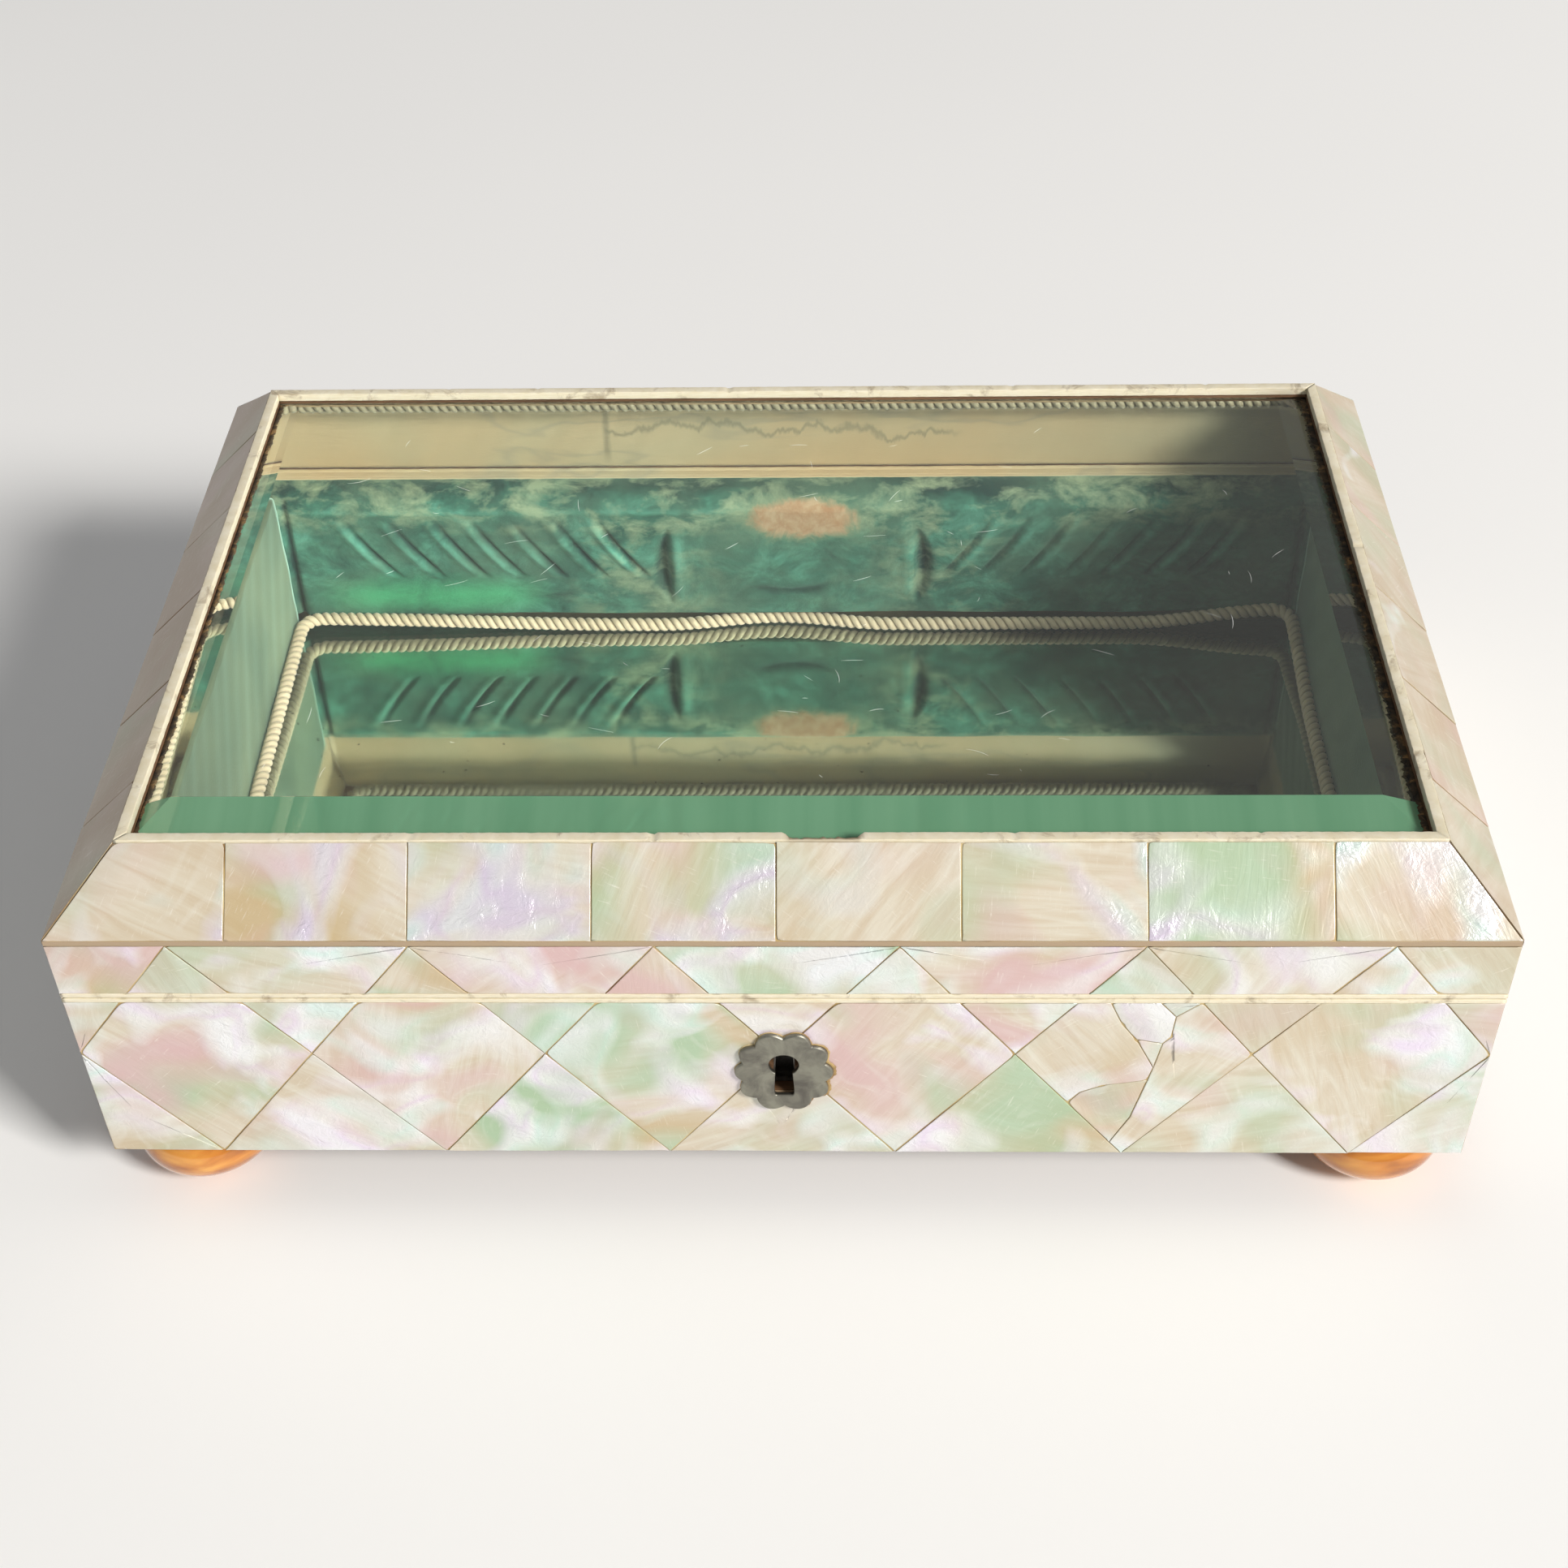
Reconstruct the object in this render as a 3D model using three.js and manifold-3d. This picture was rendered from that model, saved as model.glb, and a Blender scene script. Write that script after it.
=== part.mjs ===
// A display box veneered in mother-of-pearl, with a bevelled glass lid, a padded velvet inside and a mirror floor.
// Millimetres, +Z up. The origin is on the surface that the feet stand on, under the box's middle; the front is -Y.
import * as THREE from "three";
import { mergeVertices } from "three/addons/utils/BufferGeometryUtils.js";
import Module from "manifold-3d";

// The outside, over the shell
const WIDTH = 280;
const DEPTH = 186;
const BODY_HEIGHT = 47; // from the underside to the split between body and lid
const RIM_HEIGHT = 16.5; // from the split to the foot of the slope
const SLOPE_RUN = 13.5;
const SLOPE_RISE = 13;

// Walls, and the shell glued on them
const SHELL = 1.2;
const WALL = 6.8;
const LID_WALL = 5.8;
const SLOPE_WOOD = 2.2; // wood under the slope's shell
const BASE = 4;
const GLUE = 0.1; // glue line under a sloping plaque
const SEAM = 0.15; // between the upright shell and the lower edge of the slope
const MITRE_GAP = 0.3;
const PARTING = 0.3; // between the closed lid and the body
const FIT = 0.1; // round a piece let into the wood

// Shell pattern: one lattice of diamonds over body and rim, and plaques on the slope
const FRONT_DIAMONDS = 6;
const SIDE_DIAMONDS = 4;
const FRONT_PLAQUES = 8;
const SIDE_PLAQUES = 6;
const JOINT_WIDTH = 0.5;
const JOINT_DEPTH = 0.35;

// Bone stringing
const EDGE_LINE = 1.1; // height of the strip on each side of the split
const GLASS_LINE = 2.2; // width of the strip round the glass
const GLASS_LINE_PROUD = 0.3;

// Glass, let into the lid's rails from below and held by the cord under it
const GLASS = 5;
const GLASS_SINK = 0.8; // top of the glass under the top of the slope
const GLASS_LAP = 2.8; // hidden under the lip
const BEVEL_WIDTHS = { front: 14.2, right: 10.6, back: 6.8, left: 8.6 }; // ground by hand, all unequal
const BEVEL_DROP = 3.1;
const GLASS_FIT = 0.3;

// Inside of the body
const MIRROR = 2;
const LINING_LEDGE = 3.6; // silk ledge along the front and the back
const PAD = 8.4; // velvet pad in front of the ledge
const PAD_ROLL = 4.7; // height of the pad's sloping top edge
const SIDE_LINING = 2.7;
const LINING_DROP = 0.2; // linings stop this far under the split
const SOFT_GAP = 0.2;

// Cords
const CORD = 3.5;
const CORD_SIDES = 8;
const CORD_STEPS = 80;
const CORD_CORNER = 5; // radius of the cord's turn
const CORD_END_GAP = 1; // between the two ends of the cord
const CORD_BOW = 3.2; // how far the floor cord leans back under the pad
const CORD_BOW_AT = -4;
const CORD_BOW_HALF = 30;
const CORD_LIFT = 4.2; // the floor cord's lift at the back right corner
const CORD_LIFT_RUN = 42;

// Silk inside the lid
const SILK = 1;

// Feet
const FOOT_HEIGHT = 15.5;
const FOOT_RADIUS = 15.5;
const FOOT_BASE = 6.5; // radius of the flat that it stands on
const FOOT_TOP = 11.5; // radius where it meets the body
const FOOT_INSET = 15.5; // from the outer faces to the foot's axis
const FOOT_SIDES = 20;
const FOOT_STEPS = 9;

// Escutcheon, keyhole and lock
const LOCK_AT = 0.8; // distance of the lock from the middle
const KEY_HEIGHT = 28.5; // centre of the key's round hole over the underside of the body
const KEY_RADIUS = 3;
const KEY_SLOT_TOP = 3.4;
const KEY_SLOT_FOOT = 4.2;
const KEY_DROP = 9.2; // from the centre of the round hole to the foot of the slot
const KEY_CLEARANCE = 0.4; // the hole in the wood is this much wider
const PLATE = 1;
const PLATE_WIDTH = 19.8;
const PLATE_HEIGHT = 23.6;
const PLATE_BELOW_KEY = 2.4; // centre of the plate under the centre of the round hole
const LOBES = 10;
const LOBE_DEPTH = 0.14;
const LOBE_STEPS = 6;
const LOCK_WIDTH = 40;
const LOCK_BELOW_KEY = 12;
const LOCK_THICK = 4.6;
const LOCK_SHEET = 0.8;
const SELVEDGE_LENGTH = 52;
const STRIKE_LENGTH = 30;
const STRIKE_WIDTH = 3;
const HOOK_WIDTH = 8;
const HOOK_THICK = 1.2;
const HOOK_DROP = 6;
const HOOK_CLEARANCE = 0.4;

// Hinges
const HINGE_INSET = 55; // each end of the box to the middle of its hinge
const HINGE_AT = WIDTH / 2 - HINGE_INSET; // middle of each hinge from the middle of the box
const HINGE_LENGTH = 24;
const LEAF = 0.8;
const LEAF_REACH = 6.4; // from the back face inwards
const KNUCKLE_RADIUS = 1.7;
const KNUCKLE_GAP = 0.3;
const PIN_RADIUS = 0.7;
const PIN_CLEARANCE = 0.1;
const BACK_GAP = 0.2;
const ROUND_SIDES = 16;

// Heights and insets that follow from the sizes above
const UNDERSIDE = FOOT_HEIGHT;
const SPLIT = UNDERSIDE + BODY_HEIGHT;
const LID_BOTTOM = SPLIT + PARTING;
const RIM_TOP = SPLIT + RIM_HEIGHT;
const TOP = RIM_TOP + SLOPE_RISE;
const SLOPE = SLOPE_RISE / SLOPE_RUN;
const UPRIGHT = Math.hypot(1, SLOPE); // a thickness on the slope, measured upright, is this much greater
const SLOPE_SHELL = SHELL * UPRIGHT;
const SHELL_TOP = RIM_TOP - SLOPE_SHELL - SEAM;
const INSIDE = SHELL + WALL;
const FLOOR = UNDERSIDE + BASE + MIRROR;
const PAD_FACE = INSIDE + LINING_LEDGE + PAD;
const LINING_TOP = SPLIT - LINING_DROP;
const GLASS_OPENING = SLOPE_RUN + GLASS_LINE;
const GLASS_EDGE = GLASS_OPENING - GLASS_LAP;
const GLASS_TOP = TOP - GLASS_SINK;
const GLASS_UNDER = GLASS_TOP - GLASS;
const LID_INSIDE = SHELL + LID_WALL;
const LIP_TOP = TOP - SLOPE_SHELL - GLUE;
const CORD_RADIUS = CORD / 2;
const LID_CORD_HEIGHT = GLASS_UNDER - GLUE - CORD_RADIUS;
const LID_CORD_INSET = insetUnder(LID_CORD_HEIGHT + (CORD_RADIUS + GLUE) * UPRIGHT);
const FLOOR_CORD_HEIGHT = FLOOR + GLUE + CORD_RADIUS;
const PAD_UNDER = FLOOR + CORD + 2 * SOFT_GAP;
const KEY_Z = UNDERSIDE + KEY_HEIGHT;

// Height of the rail's sloping underside over an inset from the outer face of the box, and the inset at a height.
function woodUnder(t) {
  return LIP_TOP - (SLOPE_RUN - t) * SLOPE - SLOPE_WOOD * UPRIGHT;
}

function insetUnder(z) {
  return SLOPE_RUN + (z + SLOPE_WOOD * UPRIGHT - LIP_TOP) / SLOPE;
}

const wasm = await Module();
wasm.setup();

const MATERIALS = {
  wood: { color: 0x8a5a34, roughness: 0.6, metalness: 0 },
  shell: { color: 0xe4dccb, roughness: 0.25, metalness: 0.1 },
  bone: { color: 0xe9dfc0, roughness: 0.45, metalness: 0 },
  foot: { color: 0xc9771f, roughness: 0.25, metalness: 0 },
  velvet: { color: 0x1f6b54, roughness: 0.95, metalness: 0 },
  silk: { color: 0xb9a878, roughness: 0.7, metalness: 0 },
  cord: { color: 0xc9b990, roughness: 0.85, metalness: 0 },
  glass: { color: 0xcfe6dc, roughness: 0.03, metalness: 0 },
  mirror: { color: 0xc8ccc8, roughness: 0.04, metalness: 1 },
  steel: { color: 0x6f716c, roughness: 0.45, metalness: 0.9 },
  brass: { color: 0xa8843c, roughness: 0.4, metalness: 0.9 },
};

const SIDES = [
  { name: "front", turn: 0, half: WIDTH / 2, reach: DEPTH / 2, diamonds: FRONT_DIAMONDS, plaques: FRONT_PLAQUES },
  { name: "right", turn: 1, half: DEPTH / 2, reach: WIDTH / 2, diamonds: SIDE_DIAMONDS, plaques: SIDE_PLAQUES },
  { name: "back", turn: 2, half: WIDTH / 2, reach: DEPTH / 2, diamonds: FRONT_DIAMONDS, plaques: FRONT_PLAQUES },
  { name: "left", turn: 3, half: DEPTH / 2, reach: WIDTH / 2, diamonds: SIDE_DIAMONDS, plaques: SIDE_PLAQUES },
];
const [FRONT, RIGHT, BACK, LEFT] = SIDES;
const isLong = (side) => side.turn % 2 === 0;

// Turns a geometry made for the front face to the given side, by whole quarter turns.
function toSide(geometry, side) {
  const p = geometry.getAttribute("position");
  for (let i = 0; i < p.count; i++) {
    let [x, y] = [p.getX(i), p.getY(i)];
    for (let n = 0; n < side.turn; n++) [x, y] = [-y, x];
    p.setXY(i, x, y);
  }
  return geometry;
}

// A closed geometry as a solid that can be joined and cut.
function solid(geometry) {
  const bare = geometry.clone();
  for (const name of Object.keys(bare.attributes)) if (name !== "position") bare.deleteAttribute(name);
  const merged = mergeVertices(bare, 1e-4);
  return new wasm.Manifold(
    new wasm.Mesh({
      numProp: 3,
      vertProperties: new Float32Array(merged.getAttribute("position").array),
      triVerts: new Uint32Array(merged.index.array),
    }),
  );
}

// A solid back as a geometry.
function geometryOf(made) {
  const mesh = made.getMesh();
  return new THREE.BufferGeometry()
    .setAttribute("position", new THREE.BufferAttribute(new Float32Array(mesh.vertProperties), 3))
    .setIndex(new THREE.BufferAttribute(new Uint32Array(mesh.triVerts), 1));
}

// The first geometry without the others.
function cut(geometry, ...cutters) {
  return geometryOf(cutters.reduce((left, cutter) => left.subtract(solid(cutter)), solid(geometry)));
}

// All the geometries as one.
function join(...geometries) {
  return geometryOf(geometries.map(solid).reduce((all, one) => all.add(one)));
}

// A block between two corners.
function block([x0, y0, z0], [x1, y1, z1]) {
  return new THREE.BoxGeometry(x1 - x0, y1 - y0, z1 - z0).translate((x0 + x1) / 2, (y0 + y1) / 2, (z0 + z1) / 2);
}

// A round bar along X, between two values of x.
function roundBar(x0, x1, radius, y, z) {
  return new THREE.CylinderGeometry(radius, radius, x1 - x0, ROUND_SIDES)
    .rotateZ(Math.PI / 2)
    .translate((x0 + x1) / 2, y, z);
}

// A bar along one side of the box. Its section is a list of [inset from the outer face, height], and inset gives how
// far each end stops short of the corner at that place of the section.
function bar(side, section, inset) {
  const shape = new THREE.Shape(section.map(([t, z]) => new THREE.Vector2(t, z)));
  const geometry = new THREE.ExtrudeGeometry(shape, { depth: 1, bevelEnabled: false });
  const p = geometry.getAttribute("position");
  for (let i = 0; i < p.count; i++) {
    const [t, z, end] = [p.getX(i), p.getY(i), p.getZ(i) * 2 - 1];
    p.setXYZ(i, end * (side.half - inset(t)), t - side.reach, z);
  }
  return toSide(geometry, side);
}

const mitred = (t) => t + MITRE_GAP / 2;
const rectangle = (t0, t1, z0, z1) => [[t0, z0], [t1, z0], [t1, z1], [t0, z1]];

// Bars of rectangular section round all four sides, butted: the long ones run through, the short ones fit between.
function butted(side, t0, t1, z0, z1) {
  const inset = isLong(side) ? t0 : t1;
  return bar(side, rectangle(t0, t1, z0, z1), () => inset);
}

// A flat ring of rectangular section between two insets.
function ring(t0, t1, z0, z1) {
  const corner = (t) => [
    new THREE.Vector2(t - WIDTH / 2, t - DEPTH / 2),
    new THREE.Vector2(WIDTH / 2 - t, t - DEPTH / 2),
    new THREE.Vector2(WIDTH / 2 - t, DEPTH / 2 - t),
    new THREE.Vector2(t - WIDTH / 2, DEPTH / 2 - t),
  ];
  const shape = new THREE.Shape(corner(t0));
  shape.holes.push(new THREE.Path(corner(t1)));
  return new THREE.ExtrudeGeometry(shape, { depth: z1 - z0, bevelEnabled: false }).translate(0, 0, z0);
}

// The joints of the diamonds on one side: straight grooves through the side corners of the diamonds.
function diamondJoints(side) {
  const pitch = (2 * side.half) / side.diamonds;
  const height = SHELL_TOP - UNDERSIDE;
  const length = Math.hypot(pitch, height) + 4 * JOINT_WIDTH;
  const joints = [];
  for (let k = 0; k <= side.diamonds; k++)
    for (const lean of [-1, 1])
      joints.push(
        toSide(
          new THREE.BoxGeometry(length, 2 * JOINT_DEPTH, JOINT_WIDTH)
            .rotateY(lean * Math.atan2(height, pitch))
            .translate(k * pitch - side.half, -side.reach, UNDERSIDE + height / 2),
          side,
        ),
      );
  return joints;
}

// The joints of the plaques on one slope: grooves square to the edge.
function plaqueJoints(side) {
  const pitch = (2 * side.half) / side.plaques;
  const length = Math.hypot(SLOPE_RUN, SLOPE_RISE) + 4;
  const joints = [];
  for (let k = 1; k < side.plaques; k++)
    joints.push(
      toSide(
        new THREE.BoxGeometry(JOINT_WIDTH, length, 2 * JOINT_DEPTH)
          .rotateX(Math.atan2(SLOPE_RISE, SLOPE_RUN))
          .translate(k * pitch - side.half, SLOPE_RUN / 2 - side.reach, RIM_TOP + SLOPE_RISE / 2),
        side,
      ),
    );
  return joints;
}

// The keyhole's outline, grown by a clearance: a round hole over a slot that widens downwards.
function keyholeShape(grow, Kind = THREE.Path) {
  const radius = KEY_RADIUS + grow;
  const neck = KEY_SLOT_TOP / 2 + grow;
  const foot = KEY_SLOT_FOOT / 2 + grow;
  const start = -Math.acos(neck / radius);
  const path = new Kind();
  path.absarc(LOCK_AT, KEY_Z, radius, start, Math.PI - start, false);
  path.lineTo(LOCK_AT - foot, KEY_Z - KEY_DROP - grow);
  path.lineTo(LOCK_AT + foot, KEY_Z - KEY_DROP - grow);
  path.closePath();
  return path;
}

// A shape drawn in x and z, made solid between two depths.
function plateOf(shape, y0, y1) {
  return new THREE.ExtrudeGeometry(shape, { depth: y1 - y0, bevelEnabled: false, curveSegments: ROUND_SIDES / 2 })
    .rotateX(Math.PI / 2)
    .translate(0, y1, 0);
}

function keyholeThrough(y0, y1, grow) {
  return plateOf(keyholeShape(grow, THREE.Shape), y0, y1);
}

// The scalloped oval plate round the keyhole.
function escutcheon() {
  const count = LOBES * LOBE_STEPS;
  const outline = Array.from({ length: count }, (_, i) => {
    const angle = (i / count) * 2 * Math.PI;
    const reach = 1 - LOBE_DEPTH * (1 - Math.abs(Math.sin((LOBES * angle) / 2)));
    return new THREE.Vector2(
      LOCK_AT + (PLATE_WIDTH / 2) * reach * Math.sin(angle),
      KEY_Z - PLATE_BELOW_KEY + (PLATE_HEIGHT / 2) * reach * Math.cos(angle),
    );
  });
  const shape = new THREE.Shape(outline);
  shape.holes.push(keyholeShape(0));
  return plateOf(shape, -DEPTH / 2 - PLATE, -DEPTH / 2);
}

// The space for the lock in the front wall, from the wall's inner face, and for its top plate.
const LOCK_FACE = INSIDE - LOCK_THICK - DEPTH / 2; // y of the side of the lock that the keyhole is in
const LOCK_BACK = INSIDE - DEPTH / 2;
const LOCK_FOOT = KEY_Z - LOCK_BELOW_KEY;

function lockPocket() {
  return [
    block(
      [LOCK_AT - LOCK_WIDTH / 2 - FIT, LOCK_FACE - FIT, LOCK_FOOT - FIT],
      [LOCK_AT + LOCK_WIDTH / 2 + FIT, LOCK_BACK + FIT, SPLIT + FIT],
    ),
    block(
      [LOCK_AT - SELVEDGE_LENGTH / 2 - FIT, LOCK_FACE - FIT, SPLIT - LOCK_SHEET - FIT],
      [LOCK_AT + SELVEDGE_LENGTH / 2 + FIT, LOCK_BACK + FIT, SPLIT + FIT],
    ),
  ];
}

const HOOK_MIDDLE = LOCK_FACE + LOCK_SHEET + HOOK_CLEARANCE + HOOK_THICK / 2;

// A box lock: a hollow case with the keyhole in its front, under a plate with a slot for the hook.
function lockCase() {
  const half = LOCK_WIDTH / 2;
  const case_ = block([LOCK_AT - half, LOCK_FACE, LOCK_FOOT], [LOCK_AT + half, LOCK_BACK, SPLIT]);
  const plate = block(
    [LOCK_AT - SELVEDGE_LENGTH / 2, LOCK_FACE, SPLIT - LOCK_SHEET],
    [LOCK_AT + SELVEDGE_LENGTH / 2, LOCK_BACK, SPLIT],
  );
  const hollow = block(
    [LOCK_AT - half + LOCK_SHEET, LOCK_FACE + LOCK_SHEET, LOCK_FOOT + LOCK_SHEET],
    [LOCK_AT + half - LOCK_SHEET, LOCK_BACK - LOCK_SHEET, SPLIT - LOCK_SHEET],
  );
  const slot = block(
    [LOCK_AT - HOOK_WIDTH / 2 - HOOK_CLEARANCE, HOOK_MIDDLE - HOOK_THICK / 2 - HOOK_CLEARANCE, SPLIT - 2 * LOCK_SHEET],
    [LOCK_AT + HOOK_WIDTH / 2 + HOOK_CLEARANCE, HOOK_MIDDLE + HOOK_THICK / 2 + HOOK_CLEARANCE, SPLIT + FIT],
  );
  const key = keyholeThrough(LOCK_FACE - FIT, LOCK_FACE + 2 * LOCK_SHEET, 0);
  return cut(join(case_, plate), hollow, slot, key);
}

// The plate let into the lid's front rail, with the hook that drops into the lock.
function strikeBlocks(grow) {
  return block(
    [LOCK_AT - STRIKE_LENGTH / 2 - grow, HOOK_MIDDLE - STRIKE_WIDTH / 2 - grow, LID_BOTTOM - grow],
    [LOCK_AT + STRIKE_LENGTH / 2 + grow, HOOK_MIDDLE + STRIKE_WIDTH / 2 + grow, LID_BOTTOM + LOCK_SHEET + grow],
  );
}

function lockStrike() {
  const hook = block(
    [LOCK_AT - HOOK_WIDTH / 2, HOOK_MIDDLE - HOOK_THICK / 2, SPLIT - HOOK_DROP],
    [LOCK_AT + HOOK_WIDTH / 2, HOOK_MIDDLE + HOOK_THICK / 2, LID_BOTTOM + LOCK_SHEET / 2],
  );
  const eye = block(
    [LOCK_AT - HOOK_WIDTH / 4, HOOK_MIDDLE - HOOK_THICK, SPLIT - HOOK_DROP + HOOK_THICK],
    [LOCK_AT + HOOK_WIDTH / 4, HOOK_MIDDLE + HOOK_THICK, SPLIT - LOCK_SHEET],
  );
  return cut(join(strikeBlocks(0), hook), eye);
}

// Hinges: two leaves let into the edges of the back wall and rail, rolled round one pin behind the box.
const HINGE_Y = DEPTH / 2 + BACK_GAP + KNUCKLE_RADIUS;
const HINGE_Z = SPLIT + PARTING / 2;
const THIRD = HINGE_LENGTH / 3;

// Where a leaf lies: below the split on the body, above it on the lid.
function leafBlock(at, upper, grow) {
  const z = upper ? LID_BOTTOM : SPLIT - LEAF;
  return block(
    [at - HINGE_LENGTH / 2 - grow, DEPTH / 2 - LEAF_REACH - grow, z - grow],
    [at + HINGE_LENGTH / 2 + grow, HINGE_Y, z + LEAF + grow],
  );
}

function hingeLeaf(at, upper) {
  const gap = KNUCKLE_GAP / 2;
  const [left, right] = [at - HINGE_LENGTH / 2, at + HINGE_LENGTH / 2];
  const middle = [[left + THIRD, right - THIRD]];
  const outer = [[left, left + THIRD], [right - THIRD, right]];
  const own = upper ? [[middle[0][0] + gap, middle[0][1] - gap]] : outer.map(([a, b]) => [
    a === left ? a : a + gap,
    b === right ? b : b - gap,
  ]);
  const knuckles = own.map(([a, b]) => roundBar(a, b, KNUCKLE_RADIUS, HINGE_Y, HINGE_Z));
  const clear = (upper ? outer : middle).map(([a, b]) =>
    block(
      [a - gap, HINGE_Y - KNUCKLE_RADIUS - KNUCKLE_GAP, HINGE_Z - 2 * KNUCKLE_RADIUS],
      [b + gap, HINGE_Y + 2 * KNUCKLE_RADIUS, HINGE_Z + 2 * KNUCKLE_RADIUS],
    ),
  );
  const bore = roundBar(left - FIT, right + FIT, PIN_RADIUS + PIN_CLEARANCE, HINGE_Y, HINGE_Z);
  const leaf = cut(leafBlock(at, upper, 0), ...clear);
  return cut(join(leaf, ...knuckles), bore);
}

// A foot: a turned bun, flat where it stands and where it meets the body.
function foot() {
  const low = -Math.acos(FOOT_BASE / FOOT_RADIUS);
  const high = Math.acos(FOOT_TOP / FOOT_RADIUS);
  const scale = FOOT_HEIGHT / (Math.sin(high) - Math.sin(low));
  const points = [new THREE.Vector2(0, 0)];
  for (let i = 0; i <= FOOT_STEPS; i++) {
    const angle = low + ((high - low) * i) / FOOT_STEPS;
    points.push(new THREE.Vector2(FOOT_RADIUS * Math.cos(angle), (Math.sin(angle) - Math.sin(low)) * scale));
  }
  points[points.length - 1].y = FOOT_HEIGHT;
  points.push(new THREE.Vector2(0, FOOT_HEIGHT));
  return new THREE.LatheGeometry(points, FOOT_SIDES).rotateX(Math.PI / 2);
}

// The route of a cord round a rectangle, from the front left corner and back to it. lean and lift shift a point
// outwards and upwards.
function cordRoute(halfX, halfY, height, lean = () => 0, lift = () => 0) {
  const corners = [
    [-halfX, -halfY],
    [halfX, -halfY],
    [halfX, halfY],
    [-halfX, halfY],
  ];
  const points = [new THREE.Vector3(-halfX + CORD_CORNER + CORD_END_GAP, -halfY, height)];
  for (let i = 0; i < 4; i++) {
    const [a, b] = [corners[i], corners[(i + 1) % 4]];
    const length = Math.hypot(b[0] - a[0], b[1] - a[1]);
    const along = [(b[0] - a[0]) / length, (b[1] - a[1]) / length];
    const count = Math.round((length - 2 * CORD_CORNER) / (2.5 * CORD));
    for (let n = i ? 0 : 1; n <= count; n++) {
      const s = CORD_CORNER + ((length - 2 * CORD_CORNER) * n) / count;
      const [x, y] = [a[0] + along[0] * s, a[1] + along[1] * s];
      const out = lean(x, y);
      points.push(new THREE.Vector3(x + along[1] * out, y - along[0] * out, height + lift(x, y)));
    }
    const turn = CORD_CORNER * (1 - Math.SQRT1_2);
    const inward = [b[0] - Math.sign(b[0]) * turn, b[1] - Math.sign(b[1]) * turn];
    if (i < 3) points.push(new THREE.Vector3(inward[0], inward[1], height + lift(...inward)));
  }
  points.push(new THREE.Vector3(-halfX + CORD_CORNER * (1 - Math.SQRT1_2), -halfY + CORD_CORNER * (1 - Math.SQRT1_2), height));
  return points;
}

function cordAlong(points) {
  const circle = new THREE.Shape();
  circle.absarc(0, 0, CORD_RADIUS, 0, 2 * Math.PI, false);
  return new THREE.ExtrudeGeometry(circle, {
    steps: CORD_STEPS,
    curveSegments: CORD_SIDES / 2, // an arc is divided twice as often as this says
    bevelEnabled: false,
    extrudePath: new THREE.CatmullRomCurve3(points, false, "centripetal"),
  });
}

// A smooth rise from 0 to 1 and back, centred on a place.
function hump(x, at, half) {
  const s = Math.min(1, Math.abs(x - at) / half);
  return (1 + Math.cos(Math.PI * s)) / 2;
}

function floorCord() {
  const halfX = WIDTH / 2 - INSIDE - SIDE_LINING - SOFT_GAP - CORD_RADIUS;
  const halfY = DEPTH / 2 - PAD_FACE - SOFT_GAP - CORD_RADIUS;
  const lean = (x, y) => (y > halfY - 1 ? CORD_BOW * hump(x, CORD_BOW_AT, CORD_BOW_HALF) : 0);
  const lift = (x, y) => CORD_LIFT * hump(Math.hypot(x - halfX, y - halfY), 0, CORD_LIFT_RUN);
  return cordAlong(cordRoute(halfX, halfY, FLOOR_CORD_HEIGHT, lean, lift));
}

function lidCord() {
  return cordAlong(cordRoute(WIDTH / 2 - LID_CORD_INSET, DEPTH / 2 - LID_CORD_INSET, LID_CORD_HEIGHT));
}

// Height of a side's bevel over an inset from the outer face of the box.
const bevelHeight = (side, t) =>
  GLASS_TOP - BEVEL_DROP + ((t - GLASS_EDGE) * BEVEL_DROP) / BEVEL_WIDTHS[side.name];

// The glass: a plate whose top face is drawn in by the width of each side's bevel.
function glassPane() {
  const [halfX, halfY] = [WIDTH / 2 - GLASS_EDGE, DEPTH / 2 - GLASS_EDGE];
  const geometry = new THREE.BoxGeometry(2, 2, 2, 1, 1, 2);
  const p = geometry.getAttribute("position");
  for (let i = 0; i < p.count; i++) {
    const [x, y, level] = [p.getX(i), p.getY(i), p.getZ(i)];
    const insetX = level > 0 ? BEVEL_WIDTHS[x > 0 ? "right" : "left"] : 0;
    const insetY = level > 0 ? BEVEL_WIDTHS[y > 0 ? "back" : "front"] : 0;
    const z = level < 0 ? GLASS_UNDER : GLASS_TOP - (level > 0 ? 0 : BEVEL_DROP);
    p.setXYZ(i, x * (halfX - insetX), y * (halfY - insetY), z);
  }
  return geometry;
}

// Section of a lid rail before it is cut: upright outside and inside, with the slope on top.
function railSection() {
  return [
    [SHELL, LID_BOTTOM],
    [GLASS_OPENING, LID_BOTTOM],
    [GLASS_OPENING, LIP_TOP],
    [SLOPE_RUN, LIP_TOP],
    [SHELL, LIP_TOP - (SLOPE_RUN - SHELL) * SLOPE],
  ];
}

// What is cut from a lid rail: the hollow inside it, under the slope, and the rebate for the glass.
function railCuts(side) {
  const [deep, open, low] = [GLASS_EDGE - GLASS_FIT, GLASS_OPENING + GLASS_LAP, LID_BOTTOM - WALL];
  const hollow = [
    [LID_INSIDE, low],
    [open, low],
    [open, woodUnder(deep)],
    [deep, woodUnder(deep)],
    [LID_INSIDE, woodUnder(LID_INSIDE)],
  ];
  const rebate = [
    [deep, low],
    [open, low],
    [open, bevelHeight(side, open) + GLASS_FIT],
    [deep, bevelHeight(side, deep) + GLASS_FIT],
  ];
  return [hollow, rebate].map((section) => bar(side, section, () => 0));
}

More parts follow.
